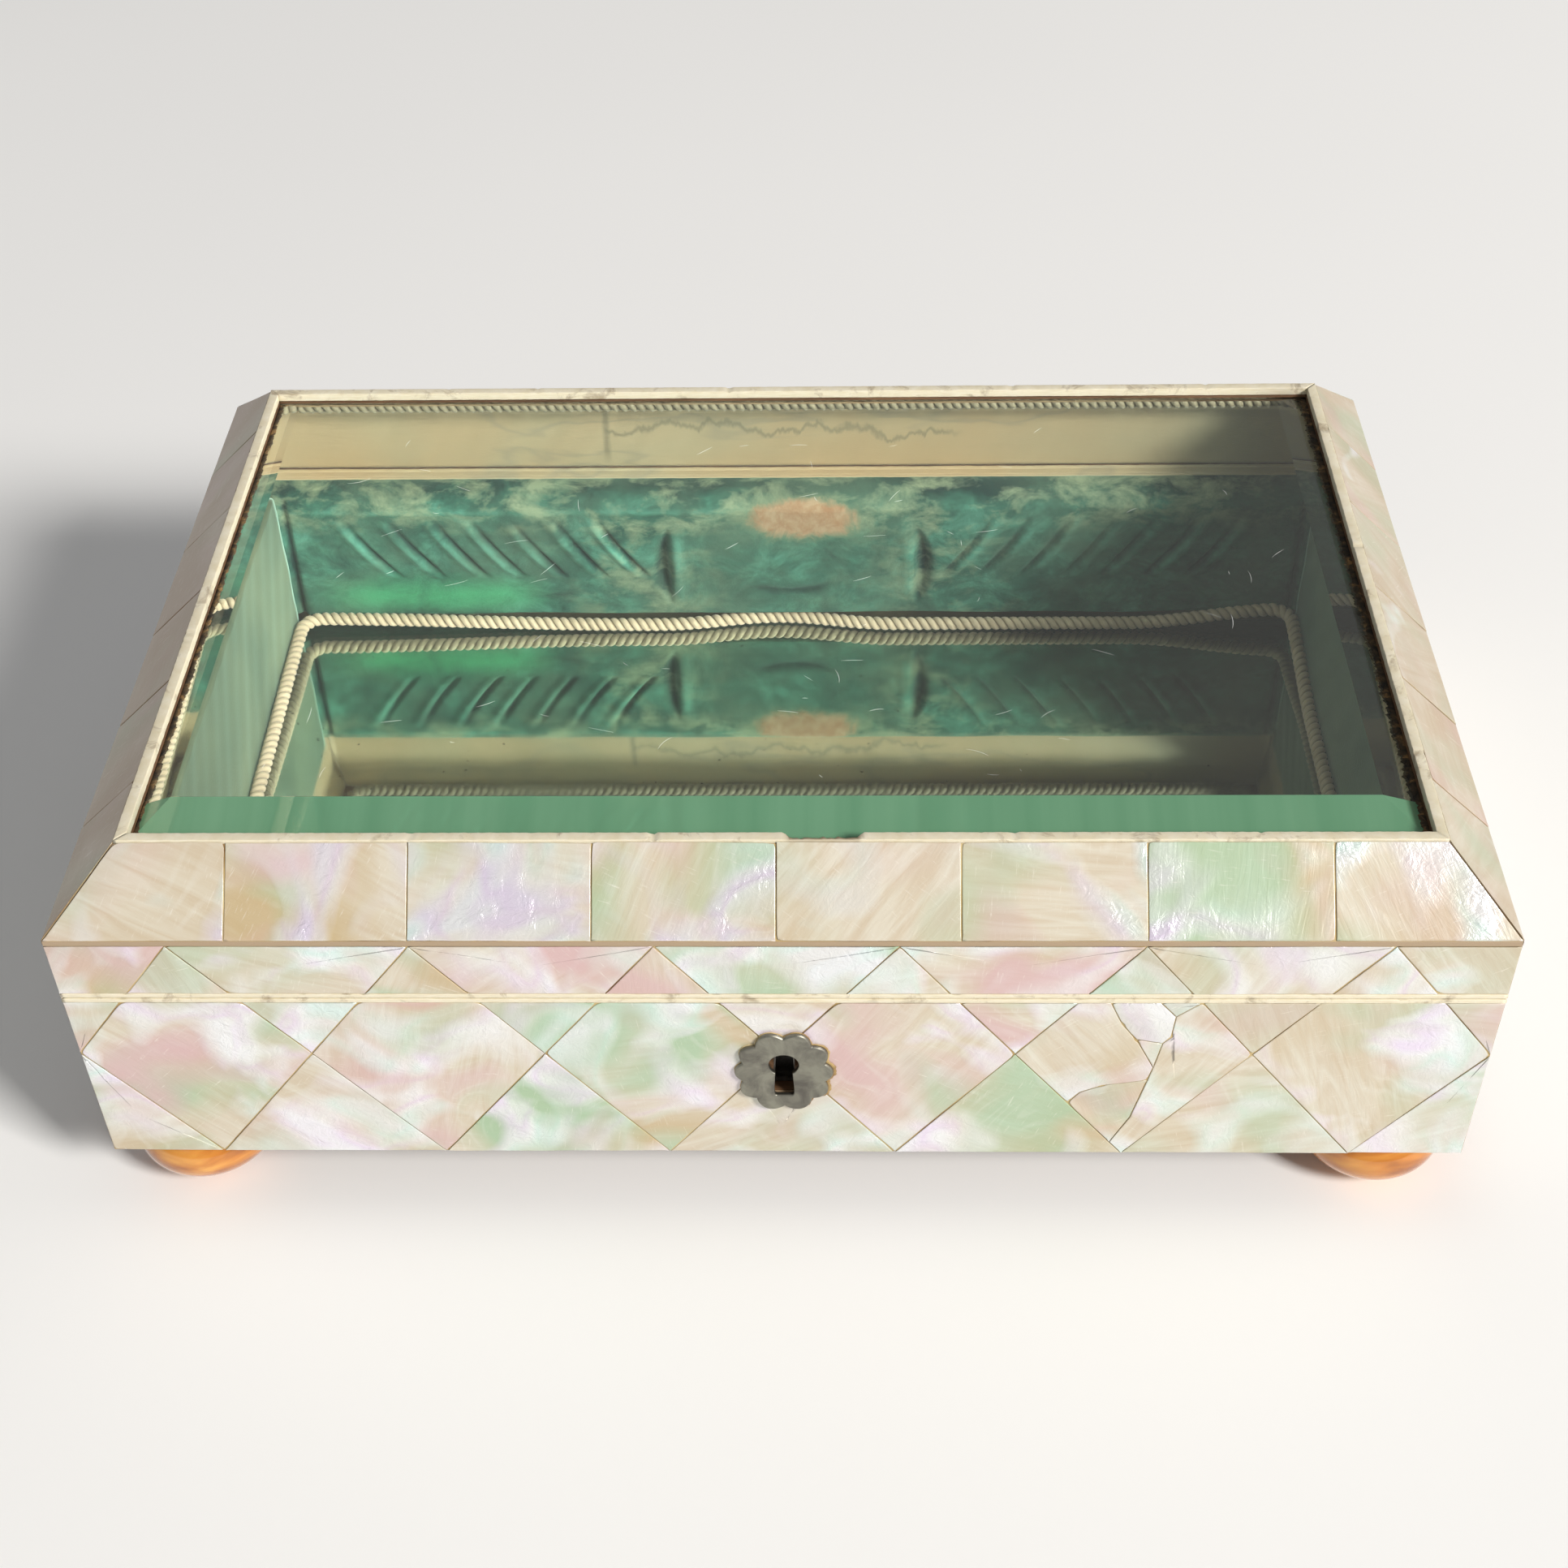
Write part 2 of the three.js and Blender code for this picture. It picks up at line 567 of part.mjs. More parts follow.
// The silk inside the lid: up the rail's inner face, then along the slope as far as the cord.
function lidSilk(side) {
  const [low, end] = [LID_BOTTOM + FIT, LID_CORD_INSET - CORD_RADIUS - 2 * SOFT_GAP];
  const top = (t) => woodUnder(t) - GLUE;
  const whole = [[LID_INSIDE, low], [end, low], [end, top(end)], [LID_INSIDE, top(LID_INSIDE)]];
  const inner = LID_INSIDE + SILK;
  const face = (t) => top(t) - SILK * UPRIGHT;
  const hollow = [[inner, low - FIT], [end + FIT, low - FIT], [end + FIT, face(end + FIT)], [inner, face(inner)]];
  return cut(bar(side, whole, mitred), bar(side, hollow, () => 0));
}

// Section of the slope's shell, with an upright lower edge.
function slopeShellSection() {
  return [
    [0, RIM_TOP - SLOPE_SHELL],
    [SLOPE_RUN, TOP - SLOPE_SHELL],
    [SLOPE_RUN, TOP],
    [0, RIM_TOP],
  ];
}

// Section of a velvet pad, with its rolled top edge.
function padSection() {
  const back = INSIDE + LINING_LEDGE + SOFT_GAP / 2;
  return [
    [back, PAD_UNDER],
    [PAD_FACE, PAD_UNDER],
    [PAD_FACE, LINING_TOP - PAD_ROLL],
    [back, LINING_TOP],
  ];
}

const box = new THREE.Group();

function add(name, geometry, finish) {
  geometry.computeVertexNormals();
  const mesh = new THREE.Mesh(geometry, new THREE.MeshStandardMaterial(MATERIALS[finish]));
  mesh.name = name;
  box.add(mesh);
  return mesh;
}

function addBodyWalls() {
  const leaves = [-HINGE_AT, HINGE_AT].map((at) => leafBlock(at, false, FIT));
  const cutters = {
    front: [...lockPocket(), keyholeThrough(-DEPTH / 2 - FIT, LOCK_FACE, KEY_CLEARANCE)],
    back: leaves,
  };
  for (const side of SIDES) {
    const wall = butted(side, SHELL, INSIDE, UNDERSIDE, SPLIT);
    add(`wall_${side.name}`, cut(wall, ...(cutters[side.name] ?? [])), "wood");
  }
  const [x, y] = [WIDTH / 2 - INSIDE, DEPTH / 2 - INSIDE];
  add("bottom_board", block([-x, -y, UNDERSIDE], [x, y, UNDERSIDE + BASE]), "wood");
  for (const side of SIDES) {
    const shell = butted(side, 0, SHELL, UNDERSIDE, SPLIT - EDGE_LINE);
    const keyhole = side === FRONT ? [keyholeThrough(-DEPTH / 2 - FIT, LOCK_FACE, KEY_CLEARANCE)] : [];
    add(`pearl_${side.name}`, cut(shell, ...diamondJoints(side), ...keyhole), "shell");
  }
  add("body_edge_line", cut(ring(0, SHELL, SPLIT - EDGE_LINE, SPLIT), ...leaves), "bone");
}

function addBodyInside() {
  const [x, y] = [WIDTH / 2 - INSIDE - FIT, DEPTH / 2 - INSIDE - FIT];
  add("mirror_floor", block([-x, -y, UNDERSIDE + BASE], [x, y, FLOOR]), "mirror");
  const ends = () => INSIDE + SOFT_GAP;
  for (const side of [FRONT, BACK]) {
    const ledge = rectangle(INSIDE, INSIDE + LINING_LEDGE, FLOOR, LINING_TOP);
    add(`silk_ledge_${side.name}`, bar(side, ledge, ends), "silk");
    add(`velvet_pad_${side.name}`, bar(side, padSection(), ends), "velvet");
  }
  const sideEnds = () => PAD_FACE + SOFT_GAP;
  for (const side of [LEFT, RIGHT]) {
    const lining = rectangle(INSIDE, INSIDE + SIDE_LINING, FLOOR, LINING_TOP);
    add(`velvet_lining_${side.name}`, bar(side, lining, sideEnds), "velvet");
  }
  add("floor_cord", floorCord(), "cord");
}

function addFittings() {
  add("escutcheon", escutcheon(), "steel");
  add("lock_case", lockCase(), "steel");
  add("lock_strike", lockStrike(), "steel");
  for (const [word, sign] of [["left", -1], ["right", 1]]) {
    const at = sign * HINGE_AT;
    const half = HINGE_LENGTH / 2;
    add(`hinge_leaf_body_${word}`, hingeLeaf(at, false), "brass");
    add(`hinge_leaf_lid_${word}`, hingeLeaf(at, true), "brass");
    add(`hinge_pin_${word}`, roundBar(at - half, at + half, PIN_RADIUS, HINGE_Y, HINGE_Z), "brass");
  }
}

function addFeet() {
  for (const [row, signY] of [["front", -1], ["back", 1]])
    for (const [word, signX] of [["left", -1], ["right", 1]])
      add(`foot_${row}_${word}`, foot(), "foot").position.set(
        signX * (WIDTH / 2 - FOOT_INSET),
        signY * (DEPTH / 2 - FOOT_INSET),
        0,
      );
}

function addLid() {
  const leaves = [-HINGE_AT, HINGE_AT].map((at) => leafBlock(at, true, FIT));
  const cutters = { front: [strikeBlocks(FIT)], back: leaves };
  for (const side of SIDES) {
    const rail = bar(side, railSection(), mitred);
    add(`lid_rail_${side.name}`, cut(rail, ...railCuts(side), ...(cutters[side.name] ?? [])), "wood");
    const rim = butted(side, 0, SHELL, LID_BOTTOM + EDGE_LINE, SHELL_TOP);
    add(`lid_pearl_rim_${side.name}`, cut(rim, ...diamondJoints(side)), "shell");
    const slope = bar(side, slopeShellSection(), mitred);
    add(`lid_pearl_slope_${side.name}`, cut(slope, ...plaqueJoints(side)), "shell");
    add(`lid_silk_${side.name}`, lidSilk(side), "silk");
  }
  add("lid_edge_line", cut(ring(0, SHELL, LID_BOTTOM, LID_BOTTOM + EDGE_LINE), ...leaves), "bone");
  add("glass_edge_line", ring(SLOPE_RUN, GLASS_OPENING, LIP_TOP + GLUE, TOP + GLASS_LINE_PROUD), "bone");
  add("glass_pane", glassPane(), "glass");
  add("lid_cord", lidCord(), "cord");
}

addBodyWalls();
addBodyInside();
addFittings();
addFeet();
addLid();

export default box;
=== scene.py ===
"""A display box veneered in mother-of-pearl: tiles on glue, bone strips, a bevelled glass lid, velvet and
silk inside, twisted cords, a mirror floor, a scalloped escutcheon and four amber feet. Lengths are in
millimetres, except where a setting of the panel or a material is in metres."""
import math

import bpy
import numpy as np
from mathutils import Matrix, Vector


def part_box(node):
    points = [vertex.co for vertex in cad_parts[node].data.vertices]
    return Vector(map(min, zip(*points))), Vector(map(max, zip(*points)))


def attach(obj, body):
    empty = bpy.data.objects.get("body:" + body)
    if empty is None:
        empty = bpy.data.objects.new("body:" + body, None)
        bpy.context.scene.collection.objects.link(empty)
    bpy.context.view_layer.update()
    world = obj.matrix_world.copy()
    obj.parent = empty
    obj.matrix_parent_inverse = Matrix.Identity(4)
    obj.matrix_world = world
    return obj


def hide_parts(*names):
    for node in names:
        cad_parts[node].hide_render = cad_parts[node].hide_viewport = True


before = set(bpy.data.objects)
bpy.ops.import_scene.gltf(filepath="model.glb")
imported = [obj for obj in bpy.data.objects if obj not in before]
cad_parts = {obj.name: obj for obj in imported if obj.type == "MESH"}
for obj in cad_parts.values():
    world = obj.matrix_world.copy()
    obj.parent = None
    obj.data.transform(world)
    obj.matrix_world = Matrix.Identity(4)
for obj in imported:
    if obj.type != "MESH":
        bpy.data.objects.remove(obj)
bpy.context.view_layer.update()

bl_info = {
    "name": "Pearl display box",
    "version": (1, 0, 0),
    "blender": (4, 5, 0),
    "location": "3D View > Sidebar > Pearl box",
    "description": "Builds the surfaces, fittings and stage of a mother-of-pearl display box round its frame",
    "category": "Object",
}

MM = 0.001

# Random phases and turns run from 0 to this, about a full turn
ANY_PHASE = 6.28


def low(node):
    """The least corner of a node's box."""
    return np.array(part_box(node)[0]) / MM


def high(node):
    """The greatest corner of a node's box."""
    return np.array(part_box(node)[1]) / MM


# Sizes taken from the frame
HALF_WIDTH = high("pearl_right")[0]
HALF_DEPTH = high("pearl_back")[1]
SHELL = HALF_DEPTH - low("pearl_back")[1]
UNDERSIDE = low("pearl_front")[2]
BODY_SHELL_TOP = high("pearl_front")[2]
SPLIT = high("body_edge_line")[2]
LID_BOTTOM = low("lid_edge_line")[2]
RIM_SHELL_LOW = low("lid_pearl_rim_front")[2]
RIM_SHELL_TOP = high("lid_pearl_rim_front")[2]
TOP = high("lid_pearl_slope_front")[2]
SLOPE_RUN = HALF_DEPTH + high("lid_pearl_slope_front")[1]
GLASS_TOP = high("glass_pane")[2]
GLASS_UNDER = low("glass_pane")[2]
GLASS_LINE_TOP = high("glass_edge_line")[2]
MIRROR_TOP = high("mirror_floor")[2]
LINING_TOP = high("velvet_pad_back")[2]
PAD_UNDER = low("velvet_pad_back")[2]
PAD_FACE = HALF_DEPTH - low("velvet_pad_back")[1]
PAD_BACK = HALF_DEPTH - high("velvet_pad_back")[1]
PAD_HALF = high("velvet_pad_back")[0]
LEDGE_BACK = HALF_DEPTH - high("silk_ledge_back")[1]
LEDGE_FACE = HALF_DEPTH - low("silk_ledge_back")[1]
LID_CORD_TOP = high("lid_cord")[2]
PLATE_MIDDLE = (low("escutcheon") + high("escutcheon")) / 2

# The slope
SLOPE_RISE = 13.0
RIM_TOP = TOP - SLOPE_RISE
SLOPE_LENGTH = math.hypot(SLOPE_RUN, SLOPE_RISE)
UPRIGHT = SLOPE_LENGTH / SLOPE_RUN

# The shell pattern: how many diamonds and plaques each side has, how deep the glue and the tiles' undersides
# lie under the face of the shell, and the gaps round shards and at the mitres
SIDE_NAMES = ("front", "right", "back", "left")
DIAMONDS = (6, 4, 6, 4)
PLAQUES = (8, 6, 8, 6)
GLUE_DEPTH = 0.3
TILE_FOOT = 0.28
SHARD_GAP = 0.08
PLAQUE_MITRE_GAP = 0.12

# Round the glass: the strip's width, where the front strip is broken, and the front bevel's inner line, from
# the box's outer face
GLASS_LINE = 2.2
BREAK_FROM, BREAK_TO = 1.6, 16.3
BEVEL_INSET = 27.1

# The room behind the escutcheon that tiles and glue leave open: left, right, foot and top, and how far under
# the diamonds' middle the tile below it is cut off
KEYHOLE_CLEAR = (-2.9, 4.4, 34.0, 47.6)
KEYHOLE_SHOULDER = 8.0

# The cords: a strand's middle lies at the reach, and it turns once in a lay. The floor cord has a bow at the
# middle of the back and rises towards the back corners: how far, where and over what length
CORD_RADIUS = 1.75
CORD_CORNER = 5.0
STRANDS = 2
STRAND_REACH = 0.82
STRAND_RADIUS = 0.93
LAY = 4.4
CORD_BOW, CORD_BOW_AT, CORD_BOW_HALF = 3.2, -4.0, 30.0
RIGHT_LIFT, RIGHT_LIFT_RUN = 4.2, 42.0
LEFT_LIFT, LEFT_LIFT_RUN = 2.2, 90.0

# The fifth diamond of the front is broken: named places of its cracks, across and up, and its shards
BROKEN_DIAMOND = 4
CRACK = {
    "left": (46.67, 46.35), "upper left": (58.04, 61.4), "notch": (64.4, 61.4), "bend": (67.1, 55.1),
    "chip left": (70.2, 50.8), "chip right": (75.4, 49.6), "chip foot": (74.2, 42.4), "top": (74.0, 61.4),
    "fork": (77.3, 57.4), "upper right": (81.96, 61.4), "waist": (76.9, 51.6), "knot": (73.4, 38.5),
    "low bend": (64.5, 36.9), "low left": (60.2, 34.7), "edge left": (57.9, 31.5), "tail": (70.9, 27.1),
    "edge foot": (67.3, 19.05), "right": (93.33, 46.35), "foot": (70.0, 15.5),
}
SHARDS = (
    ("left", "upper left", "notch", "bend", "chip left", "chip foot", "knot", "low bend", "low left",
     "edge left"),
    ("notch", "top", "fork", "waist", "chip right", "chip left", "bend"),
    ("chip left", "chip right", "chip foot"),
    ("top", "upper right", "fork"),
    ("upper right", "right", "foot", "edge foot", "tail", "knot", "chip foot", "chip right", "waist", "fork"),
    ("edge left", "low left", "low bend", "knot", "tail", "edge foot"),
)

# Characters of single tiles: how silvery, whose near-white is partly a painted glint, or below 0 how brown,
# then rose at 0 or green at 1, then how strong the colour is. Unnamed tiles draw one of TONES, the end slopes
# are brown as painted shade and reflection, and the glue bed stays plain.
TONES = {
    "cream": (0.0, 0.5, 0.3), "silver": (1.1, 0.5, 0.45), "rosy": (0.35, 0.1, 0.9),
    "green": (0.25, 1.0, 0.95), "mixed": (0.35, 0.5, 1.0), "pale": (0.5, 0.5, 0.5), "lilac": (0.6, 0.2, 0.8),
}
# Painted shade and reflection: the end slopes are tinted brown, deepest on the left slope, which lies in
# shade.
BROWN_SHADED_SLOPES = {"right": (-0.5, 0.5, 0.6), "left": (-1.0, 0.45, 0.8)}
BED_TONE = (-3.0, 0.5, 0.0)

# Characters of the front's tiles in the order of their outlines: plaques from left to right, and diamonds
# first whole ones, then lower and then upper halves
FRONT_PLAQUES = ("cream", "rosy", "silver", "mixed", "cream", "pale", "green", "pale")
FRONT_BODY = (
    "mixed", "rosy", "green", "rosy", "lilac", "pale",
    "pale", "pale", "green", "pale", "green", "pale", "silver",
    "rosy", "silver", "green", "pale", "rosy", "cream", "rosy",
)
FRONT_RIM = (
    "silver", "green", "rosy", "silver", "green", "silver",
    "rosy", "pale", "rosy", "green", "rosy", "pale", "cream",
)


class Mesh:
    """Gathers closed grids of points into one mesh. Every grid is turned so that its faces point outwards."""

    def __init__(self):
        self.points, self.quads, self.fans, self.quad_slots, self.fan_slots = [], [], [], [], []
        self.quad_smooth, self.fan_smooth = [], []
        self.values = {}
        self.count = 0

    def grid(self, points, poles=None, wrap_rows=False, slot=0, smooth=True, **values):
        """Adds rows by columns of points. The last column joins the first; wrap_rows joins the last row to
        the first, and otherwise poles, two points, close the first and the last row as on a globe."""
        rows, columns = points.shape[:2]
        index = np.arange(rows * columns).reshape(rows, columns)
        here = index if wrap_rows else index[:-1]
        above = np.roll(index, -1, axis=0) if wrap_rows else index[1:]
        right, above_right = np.roll(here, -1, axis=1), np.roll(above, -1, axis=1)
        quads = np.stack([here, right, above_right, above], axis=-1).reshape(-1, 4)
        flat = points.reshape(-1, 3)
        fans = np.zeros((0, 3), int)
        if poles is not None:
            flat = np.vstack([flat, poles])
            first, last = rows * columns, rows * columns + 1
            low_row, top_row = index[0], index[-1]
            fans = np.vstack([
                np.stack([np.full(columns, first), np.roll(low_row, -1), low_row], axis=-1),
                np.stack([np.full(columns, last), top_row, np.roll(top_row, -1)], axis=-1),
            ])
        if self.volume(flat, quads, fans) < 0:
            quads, fans = quads[:, ::-1], fans[:, ::-1]
        self.points.append(flat)
        self.quads.append(quads + self.count)
        self.fans.append(fans + self.count)
        self.quad_slots.append(np.full(len(quads), slot))
        self.fan_slots.append(np.full(len(fans), slot))
        self.quad_smooth.append(np.full(len(quads), smooth))
        self.fan_smooth.append(np.full(len(fans), smooth))
        for name, value in values.items():
            full = np.broadcast_to(np.asarray(value, float), points.shape[:2] + (3,)).reshape(-1, 3)
            if poles is not None:
                full = np.vstack([full, full[:columns].mean(0), full[-columns:].mean(0)])
            self.values.setdefault(name, []).append(full)
        self.count += len(flat)

    @staticmethod
    def volume(points, quads, fans):
        """Six times the volume inside, as the sum of each triangle's corners' triple products."""
        corners = np.vstack([quads[:, [0, 1, 2]], quads[:, [0, 2, 3]], fans])
        a, b, c = (points[corners[:, k]] - points.mean(0) for k in range(3))
        return float(np.einsum("ij,ij->i", a, np.cross(b, c)).sum())

    def finish(self, name, body, slot, materials, replaces=()):
        """Makes the object, in metres, hangs it on its body's empty and hides the frame's nodes that it
        replaces.
        """
        points = np.vstack(self.points) * MM
        quads, fans = np.vstack(self.quads), np.vstack(self.fans)
        mesh = bpy.data.meshes.new(name)
        mesh.vertices.add(len(points))
        mesh.vertices.foreach_set("co", points.ravel().astype(np.float32))
        loops = np.concatenate([quads.ravel(), fans.ravel()]).astype(np.int32)
        mesh.loops.add(len(loops))
        mesh.loops.foreach_set("vertex_index", loops)
        totals = np.concatenate([np.full(len(quads), 4), np.full(len(fans), 3)]).astype(np.int32)
        mesh.polygons.add(len(totals))
        mesh.polygons.foreach_set("loop_start", (np.cumsum(totals) - totals).astype(np.int32))
        mesh.polygons.foreach_set("loop_total", totals)
        slots = np.concatenate(self.quad_slots + self.fan_slots).astype(np.int32)
        mesh.polygons.foreach_set("material_index", slots)
        mesh.polygons.foreach_set("use_smooth", np.concatenate(self.quad_smooth + self.fan_smooth))
        for key, parts in self.values.items():
            data = mesh.attributes.new(key, "FLOAT_VECTOR", "POINT").data
            data.foreach_set("vector", np.vstack(parts).ravel().astype(np.float32))
        mesh.update(calc_edges=True)
        mesh.validate()
        for material in materials:
            mesh.materials.append(material)
        piece = bpy.data.objects.new(name, mesh)
        bpy.context.collection.objects.link(piece)
        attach(piece, body)
        if replaces:
            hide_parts(*replaces)
        return piece


class Finish:
    """A material in the making. Each method adds a node and gives back the socket that it makes."""

    def __init__(self, name):
        self.material = bpy.data.materials.new(name)
        self.material.use_nodes = True
        self.tree = self.material.node_tree
        self.tree.nodes.clear()
        self.output = self.tree.nodes.new("ShaderNodeOutputMaterial")

    def node(self, kind, settings=None, **sockets):
        """A node with its settings and inputs. An underscore in an input's name stands for a space."""
        made = self.tree.nodes.new(kind)
        for key, value in (settings or {}).items():
            setattr(made, key, value)
        for key, value in sockets.items():
            self.put(made.inputs[key.replace("_", " ")], value)
        return made

    def put(self, socket, value):
        if isinstance(value, bpy.types.NodeSocket):
            self.tree.links.new(value, socket)
        elif isinstance(value, (tuple, list)) and len(value) == 3 and socket.type == "RGBA":
            socket.default_value = (*value, 1.0)
        else:
            socket.default_value = value

    def place(self):
        return self.node("ShaderNodeTexCoord").outputs["Object"]

    def attribute(self, name):
        return self.node("ShaderNodeAttribute", {"attribute_name": name}).outputs["Vector"]

    def parts(self, vector):
        return self.node("ShaderNodeSeparateXYZ", Vector=vector).outputs

    def scaled(self, vector, scale=(1, 1, 1), shift=(0, 0, 0)):
        return self.node("ShaderNodeMapping", Vector=vector, Scale=scale, Location=shift).outputs[0]

    def noise(self, vector, scale, detail=2.0, distortion=0.0, roughness=0.5, output=0):
        """Noise: a value, or with output 1 a colour whose parts are three noises."""
        made = self.node("ShaderNodeTexNoise", Vector=vector, Scale=scale, Detail=detail,
                         Distortion=distortion, Roughness=roughness)
        return made.outputs[output]

    def math(self, operation, first, second=0.0, third=0.0):
        made = self.tree.nodes.new("ShaderNodeMath")
        made.operation = operation
        for socket, value in zip(made.inputs, (first, second, third)):
            self.put(socket, value)
        return made.outputs[0]

    def spread(self, value, start, end, to_start=0.0, to_end=1.0):
        """A value's range, stretched to another range and cut off at its ends."""
        made = self.node("ShaderNodeMapRange", Value=value, From_Min=start, From_Max=end, To_Min=to_start,
                         To_Max=to_end)
        return made.outputs[0]

    def ramp(self, value, *stops):
        made = self.node("ShaderNodeValToRGB", Fac=value)
        elements = made.color_ramp.elements
        while len(elements) < len(stops):
            elements.new(0.5)
        for element, (place, colour) in zip(elements, stops):
            element.position = place
            element.color = (*colour, 1.0)
        return made.outputs[0]

    def mix(self, share, first, second):
        """The first colour at share 0, the second at share 1."""
        made = self.tree.nodes.new("ShaderNodeMix")
        made.data_type = "RGBA"
        for socket, value in zip((made.inputs[0], made.inputs[6], made.inputs[7]), (share, first, second)):
            self.put(socket, value)
        return made.outputs[2]

    def bump(self, height, strength, distance, below=None):
        made = self.node("ShaderNodeBump", Height=height, Strength=strength, Distance=distance * MM)
        if below is not None:
            self.put(made.inputs["Normal"], below)
        return made.outputs[0]

    def surface(self, **sockets):
        shader = self.node("ShaderNodeBsdfPrincipled", **sockets)
        self.tree.links.new(shader.outputs[0], self.output.inputs[0])
        return self.material


def pearl_finish():
    """Cream shell with broad soft patches of gold, green and rose, and on the end slopes a brown that is
    painted shade and reflection. Fine growth lines run round the patches, and silvery wrinkled zones, whose
    near-white is partly a painted glint, are edged with sea green and lilac."""
    gold_patch, green_patch, rose_patch = (0.52, 0.39, 0.20), (0.34, 0.53, 0.34), (0.64, 0.42, 0.43)
    brown, ring_white, scratch_white = (0.36, 0.24, 0.13), (0.80, 0.80, 0.74), (0.90, 0.87, 0.80)
    user = bpy.context.scene.pearl_box_shell
    f = Finish("mother_of_pearl_tile")
    place, tone = f.attribute("shell_place"), f.parts(f.attribute("shell_tone"))
    broad = f.parts(f.noise(place, 0.038, 1.5, 0.5, 0.5, 1))
    other = f.parts(f.noise(f.scaled(place, shift=(70, 30, 50)), 0.045, 2.0, 0.7, 0.5, 1))
    leaning = f.math("MULTIPLY_ADD", tone[1], 0.2, -0.1)
    green = f.spread(f.math("ADD", broad[0], leaning), 0.46, 0.66)
    rose = f.spread(f.math("SUBTRACT", broad[1], leaning), 0.52, 0.7)
    gold = f.spread(broad[2], 0.48, 0.7)
    growth = f.noise(f.scaled(place, (0.3, 0.04, 0.1)), 1.0, 3.0, 1.2, 0.6)
    colour = f.mix(f.spread(growth, 0.35, 0.7), tuple(user.cream), tuple(user.pale))
    play = f.math("MULTIPLY", tone[2], user.colour_play)
    for share, patch in ((gold, gold_patch), (green, green_patch), (rose, rose_patch)):
        colour = f.mix(f.math("MULTIPLY", share, play), colour, patch)
    rings = f.math("SINE", f.math("MULTIPLY", broad[1], 100.0))
    rings = f.math("MULTIPLY", f.spread(rings, 0.3, 1.0), f.spread(other[1], 0.5, 0.62))
    colour = f.mix(f.math("MULTIPLY", rings, 0.16), colour, ring_white)
    # Below 0 the tone mixes in brown; on the end slopes this brown is painted shade and reflection.
    honey = f.math("MULTIPLY", f.spread(tone[0], 0.0, -1.0), f.spread(broad[2], 0.36, 0.62, 0.6, 0.97))
    colour = f.mix(honey, colour, brown)
    # The silver zones are partly real silvery nacre and partly a painted glint: their near-white stands in
    # for highlights.
    silver = f.spread(f.math("MULTIPLY_ADD", tone[0], 0.15, other[0]), 0.52, 0.74)
    silver_painted_glint = f.ramp(other[2], (0.36, (0.84, 0.86, 0.88)), (0.43, (0.72, 0.88, 0.84)),
                   (0.5, (0.88, 0.90, 0.91)), (0.58, (0.83, 0.74, 0.89)), (0.64, (0.88, 0.89, 0.90)))
    colour = f.mix(silver, colour, silver_painted_glint)
    scratch = f.spread(f.noise(f.scaled(place, (0.25, 2.2, 1.0)), 1.0, 5.0, 0.4, 0.65), 0.6, 0.72)
    colour = f.mix(f.math("MULTIPLY", scratch, 0.4), colour, scratch_white)
    ripple = f.noise(f.scaled(place, (0.5, 0.09, 0.3)), 1.0, 3.0, 2.5, 0.55)
    wrinkle = f.math("MULTIPLY", f.noise(place, 0.3, 4.0, 1.5, 0.6), silver)
    normal = f.bump(wrinkle, 0.6, 0.6, f.bump(ripple, 0.25, 0.25))
    rough = f.spread(silver, 0, 1, 0.36, 0.24)
    return f.surface(
        Base_Color=colour, Roughness=rough, Metallic=f.math("MULTIPLY", silver, 0.4), Normal=normal,
        Coat_Weight=0.25, Coat_Roughness=0.15, Specular_IOR_Level=0.6,
    )


def glue_finish():
    """Old glue between the tiles, yellow-brown and darker in places."""
    f = Finish("old_joint_glue")
    spots = f.noise(f.place(), 90.0, 3.0)
    colour = f.ramp(spots, (0.32, (0.22, 0.12, 0.04)), (0.45, (0.50, 0.36, 0.15)), (0.7, (0.66, 0.54, 0.30)))
    return f.surface(Base_Color=colour, Roughness=0.6, Normal=f.bump(spots, 0.4, 0.1))


def bone_finish():
    """Bone strips: cream with pores along the grain and brown dirt in spots and where the strip is broken."""
    user = bpy.context.scene.pearl_box_shell
    f = Finish("bone_strip")
    place = f.place()
    pores = f.noise(f.scaled(place, (40, 40, 400)), 8.0, 4.0, 0.2, 0.6)
    dirt = f.spread(f.noise(place, 160.0, 5.0, 0.6, 0.65), 0.56, 0.68)
    worn = f.parts(f.attribute("bone_wear"))
    dirt = f.math("MAXIMUM", f.math("MULTIPLY", dirt, 0.55), worn[0])
    colour = f.mix(f.spread(pores, 0.3, 0.7), tuple(user.bone), (0.84, 0.78, 0.62))
    colour = f.mix(dirt, colour, (0.20, 0.12, 0.05))
    return f.surface(Base_Color=colour, Roughness=0.42, Normal=f.bump(pores, 0.25, 0.12),
                     Subsurface_Weight=0.08, Subsurface_Radius=(0.002, 0.0015, 0.001))


def grime_finish():
    """Dark dirt and crumbs of brown putty beside the glass. Its near-black is partly painted shadow of the
    gap under the lip.
    """
    f = Finish("putty_and_grime")
    crumbs = f.noise(f.place(), 420.0, 4.0, 0.5, 0.65)
    # Painted shadow in part: the near-black stands for the shaded gap under the lip as well as dirt.
    colour = f.ramp(crumbs, (0.38, (0.012, 0.010, 0.007)), (0.56, (0.07, 0.045, 0.02)),
                    (0.7, (0.30, 0.17, 0.06)))
    return f.surface(Base_Color=colour, Roughness=0.85, Normal=f.bump(crumbs, 0.8, 0.3))


def glass_finish(name, tint):
    """Clear glass with a faint tint."""
    f = Finish(name)
    return f.surface(Base_Color=tint, Roughness=0.0, IOR=1.5, Transmission_Weight=1.0)


